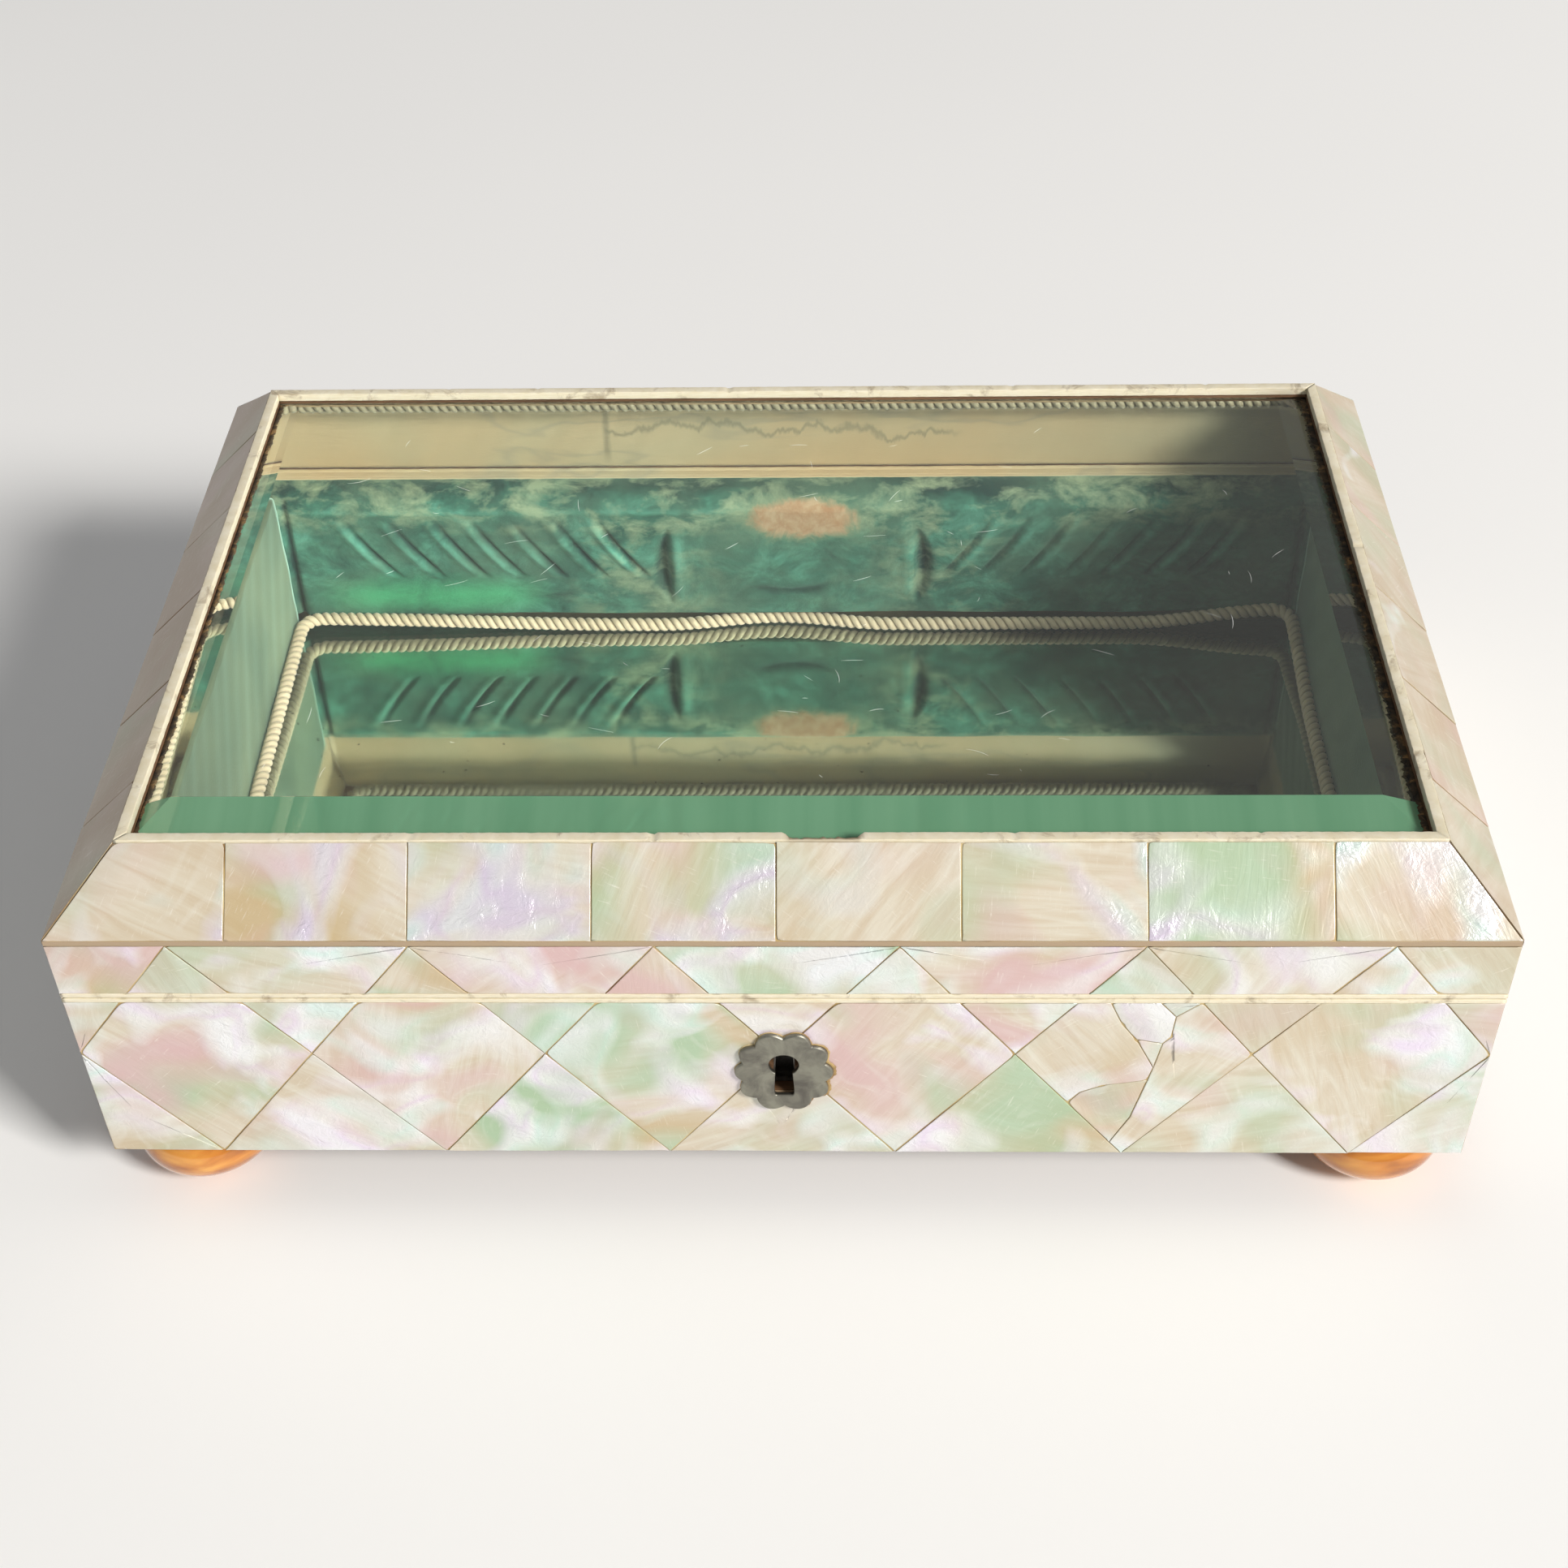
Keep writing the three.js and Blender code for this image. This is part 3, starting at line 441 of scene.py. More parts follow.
def lid_glass_finish(tint):
    """Clear glass with a thin film of dust on top. The front bevel is an opaque streaky green, a painted
    stand-in for the green it refracts and reflects, and is hardly clear. Both are on the upper face alone,
    which is found by height."""
    f = Finish("lid_glass_clear")
    place = f.place()
    spot = f.parts(place)
    above = f.spread(spot[2], (GLASS_UNDER + 0.6) * MM, (GLASS_UNDER + 0.8) * MM)
    line = -(HALF_DEPTH - BEVEL_INSET) * MM
    bevel = f.math("MULTIPLY", f.spread(spot[1], line - 0.0001, line, 1.0, 0.0), above)
    streak = f.noise(f.scaled(place, (160, 4, 1)), 1.0, 3.0)
    # Painted refraction: the opaque green on the front bevel stands in for the green inside that the clear
    # bevel shows.
    painted_bevel_green = f.mix(f.spread(streak, 0.35, 0.65), (0.13, 0.31, 0.175), (0.16, 0.35, 0.205))
    cloud = f.noise(place, 9.0, 4.0, 0.5)
    dust = f.math("MULTIPLY", f.spread(cloud, 0.3, 0.7, 0.015, 0.045), above)
    clear = f.node("ShaderNodeBsdfPrincipled", Base_Color=tint, Roughness=0.0, IOR=1.5,
                   Transmission_Weight=1.0)
    film = f.node("ShaderNodeBsdfDiffuse", Color=(0.62, 0.62, 0.52))
    green = f.node("ShaderNodeBsdfPrincipled", Base_Color=painted_bevel_green, Roughness=0.12)
    dusty = f.node("ShaderNodeMixShader")
    whole = f.node("ShaderNodeMixShader")
    for mixer, share, first, second in (
        (dusty, dust, clear, film), (whole, f.math("MULTIPLY", bevel, 0.9), dusty, green),
    ):
        f.put(mixer.inputs[0], share)
        f.put(mixer.inputs[1], first.outputs[0])
        f.put(mixer.inputs[2], second.outputs[0])
    f.put(f.output.inputs[0], whole.outputs[0])
    return f.material


def silver_finish():
    """The mirror's silvering, with grey clouds and specks of age."""
    f = Finish("aged_silvering")
    place = f.place()
    clouds = f.spread(f.noise(place, 14.0, 4.0, 0.5), 0.45, 0.75)
    specks = f.spread(f.noise(place, 500.0, 2.0), 0.72, 0.78)
    colour = f.mix(clouds, (0.80, 0.82, 0.78), (0.66, 0.70, 0.65))
    colour = f.mix(f.math("MULTIPLY", specks, 0.7), colour, (0.12, 0.12, 0.10))
    return f.surface(Base_Color=colour, Metallic=1.0, Roughness=f.spread(clouds, 0, 1, 0.03, 0.09))


def wood_finish(name, pale, dark, grain):
    """Wood with long grain: noise stretched along the grain, with fine pores across it."""
    f = Finish(name)
    place = f.scaled(f.place(), grain)
    rings = f.noise(place, 6.0, 5.0, 1.2, 0.6)
    pores = f.noise(place, 40.0, 3.0, 0.2, 0.6)
    colour = f.mix(f.spread(rings, 0.3, 0.7), dark, pale)
    colour = f.mix(f.spread(pores, 0.6, 0.75, 0.0, 0.6), colour, tuple(0.4 * c for c in dark))
    return f.surface(Base_Color=colour, Roughness=0.62, Normal=f.bump(pores, 0.3, 0.2))


def velvet_finish():
    """Crushed teal velvet. cloth_state gives painted light and shade, lighter on folds and darker in
    creases, then how bald it is, down to an orange-brown backing, and where it is bruised pale, or below 0 a
    painted pool of bright green light."""
    user = bpy.context.scene.pearl_box_inside
    f = Finish("crushed_velvet")
    place = f.place()
    data = f.parts(f.attribute("cloth_state"))
    crush = f.noise(f.scaled(place, (0.8, 1.0, 1.1)), 95.0, 6.0, 0.4, 0.68)
    pile = f.noise(place, 1400.0, 2.0)
    # Painted shade and highlight: darker in creases and the seam, lighter on folds and along the top roll.
    nap = f.math("MULTIPLY_ADD", data[0], 0.6, f.spread(crush, 0.3, 0.7, 0.0, 0.5))
    colour = f.ramp(nap, (0.26, tuple(user.velvet_crease_shade)), (0.56, tuple(user.velvet)),
                    (0.86, tuple(user.velvet_nap)))
    grey = f.spread(f.noise(place, 30.0, 4.0, 0.6), 0.42, 0.65, 0.0, 0.65)
    colour = f.mix(grey, colour, (0.085, 0.142, 0.095))
    streak = f.spread(f.noise(f.scaled(place, (0.7, 1.0, 1.2)), 120.0, 6.0, 0.3, 0.66), 0.47, 0.66)
    bruise = f.math("MULTIPLY", f.spread(data[2], 0.0, 1.0, 0.08, 1.0), streak)
    colour = f.mix(f.math("MULTIPLY", bruise, 0.75), colour, (0.31, 0.37, 0.23))
    # Painted light: a pool of bright green light low on the back pad near one end.
    painted_light_pool = f.math("MULTIPLY", f.spread(data[2], 0.0, -1.0), f.spread(crush, 0.3, 0.6, 0.4, 1.0))
    colour = f.mix(f.math("MULTIPLY", painted_light_pool, 0.8), colour, (0.05, 0.33, 0.14))
    edge = f.math("MULTIPLY_ADD", f.noise(place, 130.0, 6.0, 0.6, 0.68), 1.3, data[1])
    weave = f.noise(place, 260.0, 6.0, 0.4, 0.65)
    backing = f.mix(f.spread(weave, 0.35, 0.65), (0.34, 0.185, 0.095), (0.44, 0.31, 0.19))
    colour = f.mix(f.spread(edge, 0.92, 1.2, 0.0, 0.6), colour, (0.20, 0.25, 0.15))
    colour = f.mix(f.spread(edge, 1.12, 1.42), colour, backing)
    normal = f.bump(crush, 0.5, 0.9)
    normal = f.bump(pile, 0.5, 0.12, normal)
    return f.surface(Base_Color=colour, Roughness=0.9, Normal=normal, Sheen_Weight=0.5, Sheen_Roughness=0.4,
                     Sheen_Tint=(0.5, 0.9, 0.7), Specular_IOR_Level=0.15)


def plain_velvet_finish():
    """The smooth grey-green velvet of the side linings."""
    f = Finish("smooth_velvet")
    place = f.place()
    cloud = f.noise(place, 22.0, 4.0, 0.5)
    pile = f.noise(place, 1500.0, 2.0)
    colour = f.ramp(cloud, (0.35, (0.08, 0.108, 0.068)), (0.7, (0.175, 0.205, 0.125)))
    return f.surface(Base_Color=colour, Roughness=0.9, Normal=f.bump(pile, 0.5, 0.12), Sheen_Weight=0.6,
                     Sheen_Roughness=0.4, Sheen_Tint=(0.6, 0.9, 0.75), Specular_IOR_Level=0.15)


def silk_finish():
    """Old silk: a fine rib weave, uneven fading and faint tide marks left by water, and at the back of the
    lid one long wavy mark with a short upright one beside it."""
    user = bpy.context.scene.pearl_box_inside
    f = Finish("stained_silk")
    place = f.place()
    thread = f.node("ShaderNodeTexWave", {"bands_direction": "Z"}, Vector=place, Scale=900.0, Distortion=1.5,
                    Detail=2.0).outputs[1]
    fade = f.noise(place, 13.0, 4.0, 0.6)
    water = f.noise(f.scaled(place, (0.45, 0.45, 1.6)), 24.0, 4.0, 0.5, 0.55)
    ring = f.math("ABSOLUTE", f.math("SUBTRACT", water, 0.53))
    line = f.spread(ring, 0.0, 0.022, 1.0, 0.0)
    inside = f.spread(water, 0.53, 0.62, 0.0, 0.35)
    colour = f.mix(f.spread(fade, 0.35, 0.65), tuple(user.silk), (0.42, 0.305, 0.165))
    colour = f.mix(inside, colour, (0.34, 0.29, 0.17))
    colour = f.mix(f.math("MULTIPLY", line, 0.3), colour, (0.16, 0.17, 0.14))
    spot = f.parts(place)
    back = f.spread(spot[1], 0.04, 0.05)
    low_place = f.node("ShaderNodeCombineXYZ", X=spot[0], Z=f.math("MULTIPLY", spot[2], 0.3)).outputs[0]
    wander = f.noise(low_place, 55.0, 6.0, 0.3, 0.62)
    level = f.math("SUBTRACT", spot[2], f.math("MULTIPLY_ADD", wander, 0.026, 0.0605))
    long = f.math("MULTIPLY", f.spread(spot[0], -0.047, -0.046), f.spread(spot[0], 0.038, 0.043, 1.0, 0.0))
    upright = f.math("MULTIPLY_ADD", wander, 0.006, f.math("ADD", spot[0], 0.0432))
    short = f.math("MULTIPLY", f.spread(spot[2], 0.079, 0.080, 1.0, 0.0), f.spread(spot[2], 0.0635, 0.068))
    for away, window in ((level, long), (upright, short)):
        mark = f.spread(f.math("ABSOLUTE", away), 0.0002, 0.0011, 0.58, 0.0)
        mark = f.math("MULTIPLY", f.math("MULTIPLY", mark, window), back)
        colour = f.mix(mark, colour, (0.15, 0.14, 0.085))
    return f.surface(Base_Color=colour, Roughness=0.6, Normal=f.bump(thread, 0.25, 0.08), Sheen_Weight=0.25,
                     Sheen_Roughness=0.35, Anisotropic=0.3)


def cord_finish():
    """Twisted silk cord: fine fibres along each strand, spots of soil, painted shade in the grooves between
    strands, and the whole lid cord darkened as painted shade.
    """
    user = bpy.context.scene.pearl_box_inside
    f = Finish("twisted_silk_cord")
    data = f.parts(f.attribute("strand_place"))
    stretched, side = f.math("MULTIPLY", data[0], 0.35), f.math("MULTIPLY", data[1], 3.5)
    along = f.node("ShaderNodeCombineXYZ", X=stretched, Y=side, Z=data[2]).outputs[0]
    fibre = f.noise(along, 1.6, 3.0, 0.2, 0.6)
    soil = f.noise(f.place(), 60.0, 3.0)
    colour = f.mix(f.spread(fibre, 0.3, 0.7), tuple(user.cord), (0.68, 0.55, 0.38))
    colour = f.mix(f.spread(soil, 0.5, 0.75, 0.0, 0.5), colour, (0.30, 0.23, 0.13))
    # Painted shade: the lid's cord is darker all over, and each strand darker on its inner side, in the
    # grooves.
    depth = f.parts(f.attribute("strand_depth"))
    colour = f.mix(f.math("MULTIPLY", depth[1], 0.88), colour, (0.22, 0.195, 0.12))
    colour = f.mix(f.spread(depth[0], 0.0, 0.9, 0.9, 0.0), colour, (0.10, 0.07, 0.035))
    return f.surface(Base_Color=colour, Roughness=0.7, Normal=f.bump(fibre, 0.5, 0.15), Sheen_Weight=0.3,
                     Sheen_Roughness=0.4)


def metal_finish(name, clean, dull, roughness):
    """Old metal: a duller film in clouds, brighter worn places and fine scratches."""
    f = Finish(name)
    place = f.place()
    film = f.noise(place, 130.0, 5.0, 0.6, 0.62)
    fine = f.noise(f.scaled(place, (1.0, 1.0, 0.25)), 1300.0, 3.0)
    colour = f.mix(f.spread(film, 0.4, 0.65), clean, dull)
    rough = f.spread(film, 0.4, 0.65, roughness, roughness + 0.22)
    normal = f.bump(fine, 0.25, 0.05, f.bump(film, 0.3, 0.15))
    return f.surface(Base_Color=colour, Metallic=0.95, Roughness=rough, Normal=normal)


def amber_finish():
    """Turned horn or resin, honey to brown in slow swirls, polished and a little clear."""
    user = bpy.context.scene.pearl_box_fittings
    f = Finish("honey_foot")
    place = f.place()
    swirl = f.noise(f.scaled(place, (1.0, 1.0, 2.2)), 38.0, 3.0, 2.2, 0.5)
    colour = f.ramp(swirl, (0.32, (0.30, 0.085, 0.012)), (0.52, tuple(user.foot)), (0.7, (0.80, 0.38, 0.07)))
    return f.surface(Base_Color=colour, Roughness=0.14, Coat_Weight=1.0, Coat_Roughness=0.04,
                     Subsurface_Weight=0.2, Subsurface_Radius=(0.006, 0.003, 0.001))


def turned(points, turn):
    """Points given for the front, turned by quarter turns to the right, back or left side."""
    x, y, z = points[..., 0], points[..., 1], points[..., 2]
    pairs = ((x, y), (-y, x), (-x, -y), (y, -x))
    return np.stack([*pairs[turn % 4], z], axis=-1)


def reach_of(turn):
    """From the middle of the box to the outer face of a side."""
    return HALF_WIDTH if turn % 2 else HALF_DEPTH


def half_of(turn):
    """Half the length of a side."""
    return HALF_DEPTH if turn % 2 else HALF_WIDTH


def upright_face(turn):
    """Across, up and out to a point on a side: out is measured from the outer face of the box."""
    def place(across, up, out):
        return turned(np.stack([across, -(reach_of(turn) + out), up], axis=-1), turn)
    return place


def sloping_face(turn):
    """Across, up the slope and out to a point on the lid's slope. Out is upright, so edges are upright."""
    def place(across, up, out):
        inset = up * SLOPE_RUN / SLOPE_LENGTH
        height = RIM_TOP + up * SLOPE_RISE / SLOPE_LENGTH + out * UPRIGHT
        return turned(np.stack([across, inset - reach_of(turn), height], axis=-1), turn)
    return place


def clipped(corners, normal, limit):
    """The part of a convex outline whose points, multiplied by the normal, stay under the limit."""
    kept = []
    for a, b in zip(corners, corners[1:] + corners[:1]):
        da, db = (np.dot(p, normal) - limit for p in (a, b))
        if da <= 0:
            kept.append(a)
        if da * db < 0:
            kept.append(tuple(np.array(a) + (np.array(b) - np.array(a)) * da / (da - db)))
    return kept


def area(corners):
    """The area of an outline, above 0 where it runs anticlockwise."""
    x, y = np.array(corners).T
    return float(np.dot(x, np.roll(y, -1)) - np.dot(y, np.roll(x, -1))) / 2


def lattice(half, across, up, count):
    """Outlines of the diamonds of a side, whole ones first, then the lower and the upper halves between them,
    all cut to the range across and up. One diamond reaches from the underside to the foot of the slope."""
    wide, tall = 2 * half / count, RIM_SHELL_TOP - UNDERSIDE
    middle = (RIM_SHELL_TOP + UNDERSIDE) / 2
    whole = [(-half + wide * (i + 0.5), middle) for i in range(count)]
    lower = [(-half + wide * i, UNDERSIDE) for i in range(count + 1)]
    upper = [(-half + wide * i, RIM_SHELL_TOP) for i in range(count + 1)]
    outlines = []
    for x, z in whole + lower + upper:
        corners = [(x - wide / 2, z), (x, z - tall / 2), (x + wide / 2, z), (x, z + tall / 2)]
        for normal, limit in (((1, 0), across[1]), ((-1, 0), -across[0]), ((0, 1), up[1]), ((0, -1), -up[0])):
            corners = clipped(corners, normal, limit) if len(corners) > 2 else []
        if len(corners) > 2 and area(corners) > 2:
            outlines.append(corners)
    return outlines


def plaque_outlines(half, count, gap):
    """Outlines of the plaques up a slope. The two outer ones are cut along the mitre."""
    inset = SLOPE_RUN / SLOPE_LENGTH
    pitch = 2 * half / count
    outlines = []
    for i in range(count):
        a, b = -half + pitch * i, -half + pitch * (i + 1)
        corners = [(a, 0.0), (b, 0.0), (b, SLOPE_LENGTH), (a, SLOPE_LENGTH)]
        corners = clipped(corners, (1, inset), half - gap)
        outlines.append(clipped(corners, (-1, inset), half - gap))
    return outlines


def rim_points(corners, step, rng, ragged):
    """Points along an outline, anticlockwise, the directions inwards, and how far the ragged edge lies
    inwards: a sum of waves in the distance along the edge, and a small chip at some corners."""
    corners = corners if area(corners) > 0 else corners[::-1]
    points, chips = [], []
    for a, b in zip(corners, corners[1:] + corners[:1]):
        a, b = np.array(a), np.array(b)
        length = np.linalg.norm(b - a)
        if length < 0.3:
            continue
        s = np.linspace(0, 1, max(2, round(length / step)), endpoint=False)
        points.append(a + (b - a) * s[:, None])
        chip = 0.35 * (rng.random() < 0.3)
        chips.append(chip * np.exp(-s * length / 0.8))
    points, chips = np.vstack(points), np.concatenate(chips)
    ahead = np.roll(points, -1, axis=0) - np.roll(points, 1, axis=0)
    inward = np.stack([-ahead[:, 1], ahead[:, 0]], axis=-1)
    inward /= np.linalg.norm(inward, axis=1)[:, None]
    s = np.arange(len(points)) * step
    waves = sum(np.sin(s * k + rng.random() * ANY_PHASE) for k in (0.37, 0.93, 2.1)) / 3
    return points, inward, ragged * (0.5 + 0.5 * waves) + chips


def add_tile(mesh, face, corners, gap, rng, tone, user):
    """One tile: an outline carried inwards in rings to its middle, with a rounded edge, slow waves and a
    slight tilt, and its own place in the shell's pattern."""
    points, inward, ragged = rim_points(corners, user.edge_step, rng, user.ragged)
    middle = points.mean(0)
    edge = ((-TILE_FOOT, 0.0), (-0.11, 0.0), (-0.04, 0.03), (-0.005, 0.1), (0.0, 0.22))
    rings = [points + inward * (gap + ragged + inset)[:, None] for _, inset in edge]
    drops = [np.full(len(points), drop) for drop, _ in edge]
    inner = rings[-1]
    for share in (0.94, 0.84, 0.7, 0.55, 0.4, 0.25, 0.12):
        rings.append(middle + (inner - middle) * share)
        drops.append(np.zeros(len(points)))
    rings, drops = np.array(rings), np.array(drops)
    tilt, waves = rng.normal(0, user.tilt, 2), []
    for _ in range(4):
        direction = rng.normal(0, 1, 2)
        direction /= np.linalg.norm(direction)
        waves.append((direction * rng.uniform(0.18, 0.5), rng.random() * ANY_PHASE))

    def height(at):
        rough = sum(np.sin(at @ k + p) for k, p in waves) / 4
        return np.clip((at - middle) @ tilt, -0.12, 0.12) + user.wave / MM * rough - 0.06

    up = drops + np.where(np.arange(len(rings))[:, None] > 0, height(rings), 0.0)
    up = np.minimum(up, 0.0)
    spot = face(rings[..., 0], rings[..., 1], up)
    ends = np.array([middle, middle])
    poles = face(ends[:, 0], ends[:, 1], np.array([-TILE_FOOT, min(0.0, float(height(middle)))]))
    turn = rng.random() * ANY_PHASE
    spin = np.array([[math.cos(turn), -math.sin(turn)], [math.sin(turn), math.cos(turn)]])
    pattern = (rings - middle) @ spin + rng.uniform(-900, 900, 2)
    pattern = np.concatenate([pattern, np.full(pattern.shape[:2] + (1,), rng.uniform(-900, 900))], axis=-1)
    mesh.grid(spot, poles, shell_place=pattern, shell_tone=tone)


def add_bed(mesh, face, corners):
    """What lies under the tiles: the thickness of the shell, and a thin, slightly smaller layer of glue."""
    corners = corners if area(corners) > 0 else corners[::-1]
    points = np.array(corners)
    middle = points.mean(0)
    for slot, inset, low_out, high_out in (
        (0, 0.0, 0.05 - SHELL, -GLUE_DEPTH - 0.06), (1, 0.12, -GLUE_DEPTH - 0.05, -GLUE_DEPTH),
    ):
        outline = points + np.sign(middle - points) * inset
        out = np.array([np.full(len(points), low_out), np.full(len(points), high_out)])
        ends = face(np.full(2, middle[0]), np.full(2, middle[1]), out[:, 0])
        rows = np.array([outline, outline])
        mesh.grid(face(rows[..., 0], rows[..., 1], out), ends, slot=slot, smooth=False, shell_place=300.0,
                  shell_tone=BED_TONE)


def tone_of(name, rng):
    """A tile's character, by its name or drawn at random, with a little of its own."""
    tone = {**TONES, **BROWN_SHADED_SLOPES}[name or list(TONES)[rng.integers(len(TONES))]]
    return np.clip(np.array(tone) + rng.normal(0, 0.06, 3), (-1, 0, 0), 1)


def clear_of_keyhole(corners):
    """Cuts back a tile that ends in the point behind the escutcheon, so that the keyhole is open: tiles
    beside it end at its sides, the one above ends over it and the one below gets a notch."""
    point = np.array([0.0, (RIM_SHELL_TOP + UNDERSIDE) / 2])
    left, right, foot, top = KEYHOLE_CLEAR
    if min(np.hypot(*(np.array(corner) - point)) for corner in corners) > 1:
        return corners
    aside, rise = np.mean(corners, axis=0) - point
    if abs(aside) > abs(rise):
        return clipped(corners, (1, 0), left) if aside < 0 else clipped(corners, (-1, 0), -right)
    if rise > 0:
        return clipped(corners, (0, -1), -top)
    shoulder = point[1] - KEYHOLE_SHOULDER
    flat = clipped(corners, (0, 1), shoulder)
    a, b = sorted(corner for corner in flat if abs(corner[1] - shoulder) < 0.01)
    base = sorted(corner for corner in flat if abs(corner[1] - shoulder) >= 0.01)
    return [base[0], base[-1], b, (right + 0.5, foot), (left - 0.5, foot), a]


def bed_parts(end, up, holed):
    """Outlines of the glue bed of an upright side: one rectangle, or four round the keyhole."""
    if not holed:
        return [[(-end, up[0]), (end, up[0]), (end, up[1]), (-end, up[1])]]
    left, right, foot, top = KEYHOLE_CLEAR
    parts = ((-end, left, *up), (right, end, *up), (left, right, up[0], foot), (left, right, top, up[1]))
    return [[(a, c), (b, c), (b, d), (a, d)] for a, b, c, d in parts]


def build_shell(name, outlines, face, gap, bed, names, body, seed, broken=None, holed=False):
    """A side's shell: all its tiles and the glue bed under them, in one piece. broken is the number of a
    tile that lies in shards, and holed says that the tiles leave the keyhole open."""
    user = bpy.context.scene.pearl_box_shell
    rng = np.random.default_rng(seed)
    mesh = Mesh()
    for i, corners in enumerate(outlines):
        tone = tone_of(names[i] if names else None, rng)
        if i == broken:
            for shard in SHARDS:
                add_tile(mesh, face, [CRACK[place] for place in shard], SHARD_GAP, rng, tone, user)
            continue
        add_tile(mesh, face, clear_of_keyhole(corners) if holed else corners, gap, rng, tone, user)
    for part in bed:
        add_bed(mesh, face, part)
    finishes = [MATERIAL["pearl"], MATERIAL["glue"]]
    mesh.finish(name + "_tiles", body, "mother_of_pearl", finishes, (name,))


def bar(turn, section, stations, end, move=None):
    """Points of a bar along a side: section points, inset and height, at stations from -1 to 1, times the
    distance to the end at that inset. move shifts the points by an array of insets and heights."""
    inset, height = np.asarray(section, float).T
    inset = np.repeat(inset[None, :], len(stations), axis=0)
    height = np.repeat(height[None, :], len(stations), axis=0)
    across = stations[:, None] * end(inset)
    if move is not None:
        d_inset, d_height = move(across, inset, height)
        inset, height = inset + d_inset, height + d_height
    local = np.stack([across, inset - reach_of(turn), height], axis=-1)
    made = turned(local, turn)
    return made, made[[0, -1]].mean(axis=1)


def rounded_section(inset_low, inset_high, low_z, high_z, radius, steps=3):
    """Inset and height round a rectangle whose corners are quarter circles."""
    angle = np.linspace(0, math.pi / 2, steps + 1)
    points = []
    for quarter, (inset, height) in enumerate((
        (inset_high - radius, high_z - radius), (inset_low + radius, high_z - radius),
        (inset_low + radius, low_z + radius), (inset_high - radius, low_z + radius),
    )):
        a = angle + quarter * math.pi / 2
        points.append(np.stack([inset + radius * np.cos(a), height + radius * np.sin(a)], axis=-1))
    return np.vstack(points)


def waves_along(rng, size, lengths):
    """A slow uneven line: sines of the given wave lengths with random phases."""
    phases = rng.random(len(lengths)) * ANY_PHASE
    def at(x):
        return size * sum(np.sin(2 * math.pi * x / k + p) for k, p in zip(lengths, phases)) / len(lengths)
    return at


class PearlBoxShellSettings(bpy.types.PropertyGroup):
    """Sizes and colours of the shell tiles and the bone strips."""
    gap: bpy.props.FloatProperty(
        name="Joint", description="Half the width of a joint between two tiles", default=0.00011,
        unit="LENGTH")
    wave: bpy.props.FloatProperty(
        name="Waviness", description="Height of the slow waves on a tile", default=0.00005, unit="LENGTH")
    tilt: bpy.props.FloatProperty(
        name="Tilt", description="How much tiles lean out of line", default=0.004, unit="ROTATION")
    edge_step: bpy.props.FloatProperty(
        name="Edge step", description="Distance of the points along a tile's edge, in millimetres",
        default=1.1)
    ragged: bpy.props.FloatProperty(
        name="Ragged edge", description="Unevenness of a tile's edge, in millimetres", default=0.06)
    colour_play: bpy.props.FloatProperty(
        name="Colour play", description="Strength of the rose and green patches", default=0.85,
        subtype="FACTOR")
    cream: bpy.props.FloatVectorProperty(
        name="Cream", description="Warm ground colour of the shell", default=(0.60, 0.51, 0.38),
        subtype="COLOR")
    pale: bpy.props.FloatVectorProperty(
        name="Pale", description="Pale ground colour of the shell", default=(0.70, 0.66, 0.55),
        subtype="COLOR")
    bone: bpy.props.FloatVectorProperty(
        name="Bone", description="Colour of the bone strips", default=(0.74, 0.66, 0.47), subtype="COLOR")


class PearlBoxInsideSettings(bpy.types.PropertyGroup):
    """Sizes and colours of the velvet, silk and cord inside."""
    pleat: bpy.props.FloatProperty(
        name="Pleat depth", description="Depth of the slanting pleats", default=0.0013, unit="LENGTH")
    tuck: bpy.props.FloatProperty(
        name="Tuck depth", description="Depth of the two upright tucks", default=0.0026, unit="LENGTH")
    velvet: bpy.props.FloatVectorProperty(
        name="Velvet", description="Colour of the velvet", default=(0.034, 0.120, 0.084), subtype="COLOR")
    # Painted shade: the colour the velvet gets in the creases.
    velvet_crease_shade: bpy.props.FloatVectorProperty(
        name="Velvet in creases", description="Colour in the creases", default=(0.004, 0.030, 0.026),
        subtype="COLOR")
    velvet_nap: bpy.props.FloatVectorProperty(
        name="Velvet nap", description="Colour where the nap catches the light", default=(0.10, 0.30, 0.22),
        subtype="COLOR")
    silk: bpy.props.FloatVectorProperty(
        name="Silk", description="Colour of the silk", default=(0.39, 0.345, 0.215), subtype="COLOR")
    cord: bpy.props.FloatVectorProperty(
        name="Cord", description="Colour of the twisted cord", default=(0.56, 0.43, 0.28), subtype="COLOR")


class PearlBoxFittingSettings(bpy.types.PropertyGroup):
    """Colours of the metal fittings, feet and glass."""
    foot: bpy.props.FloatVectorProperty(
        name="Foot", description="Colour of the turned feet", default=(0.60, 0.22, 0.03), subtype="COLOR")
    pewter: bpy.props.FloatVectorProperty(
        name="Escutcheon", description="Colour of the escutcheon", default=(0.31, 0.305, 0.25),
        subtype="COLOR")
    glass: bpy.props.FloatVectorProperty(
        name="Glass", description="Tint of the glass", default=(0.90, 0.985, 0.95), subtype="COLOR")
    scratches: bpy.props.IntProperty(
        name="Scratches", description="Number of fine scratches on the glass", default=70)


class PearlBoxStageSettings(bpy.types.PropertyGroup):
    """Light, floor and camera."""
    key: bpy.props.FloatProperty(
        name="Key light", description="Power of the large soft light, in watts", default=275.0)
    fill: bpy.props.FloatProperty(
        name="Fill light", description="Power of the light from the left, in watts", default=0.8)
    sky: bpy.props.FloatProperty(
        name="Surroundings", description="Brightness of the white room", default=0.27)
    lens: bpy.props.FloatProperty(name="Lens", description="Focal length", default=50.7, unit="CAMERA")
    floor: bpy.props.FloatVectorProperty(
        name="Floor", description="Colour of the floor", default=(0.95, 0.95, 0.945), subtype="COLOR")


MATERIAL = {}


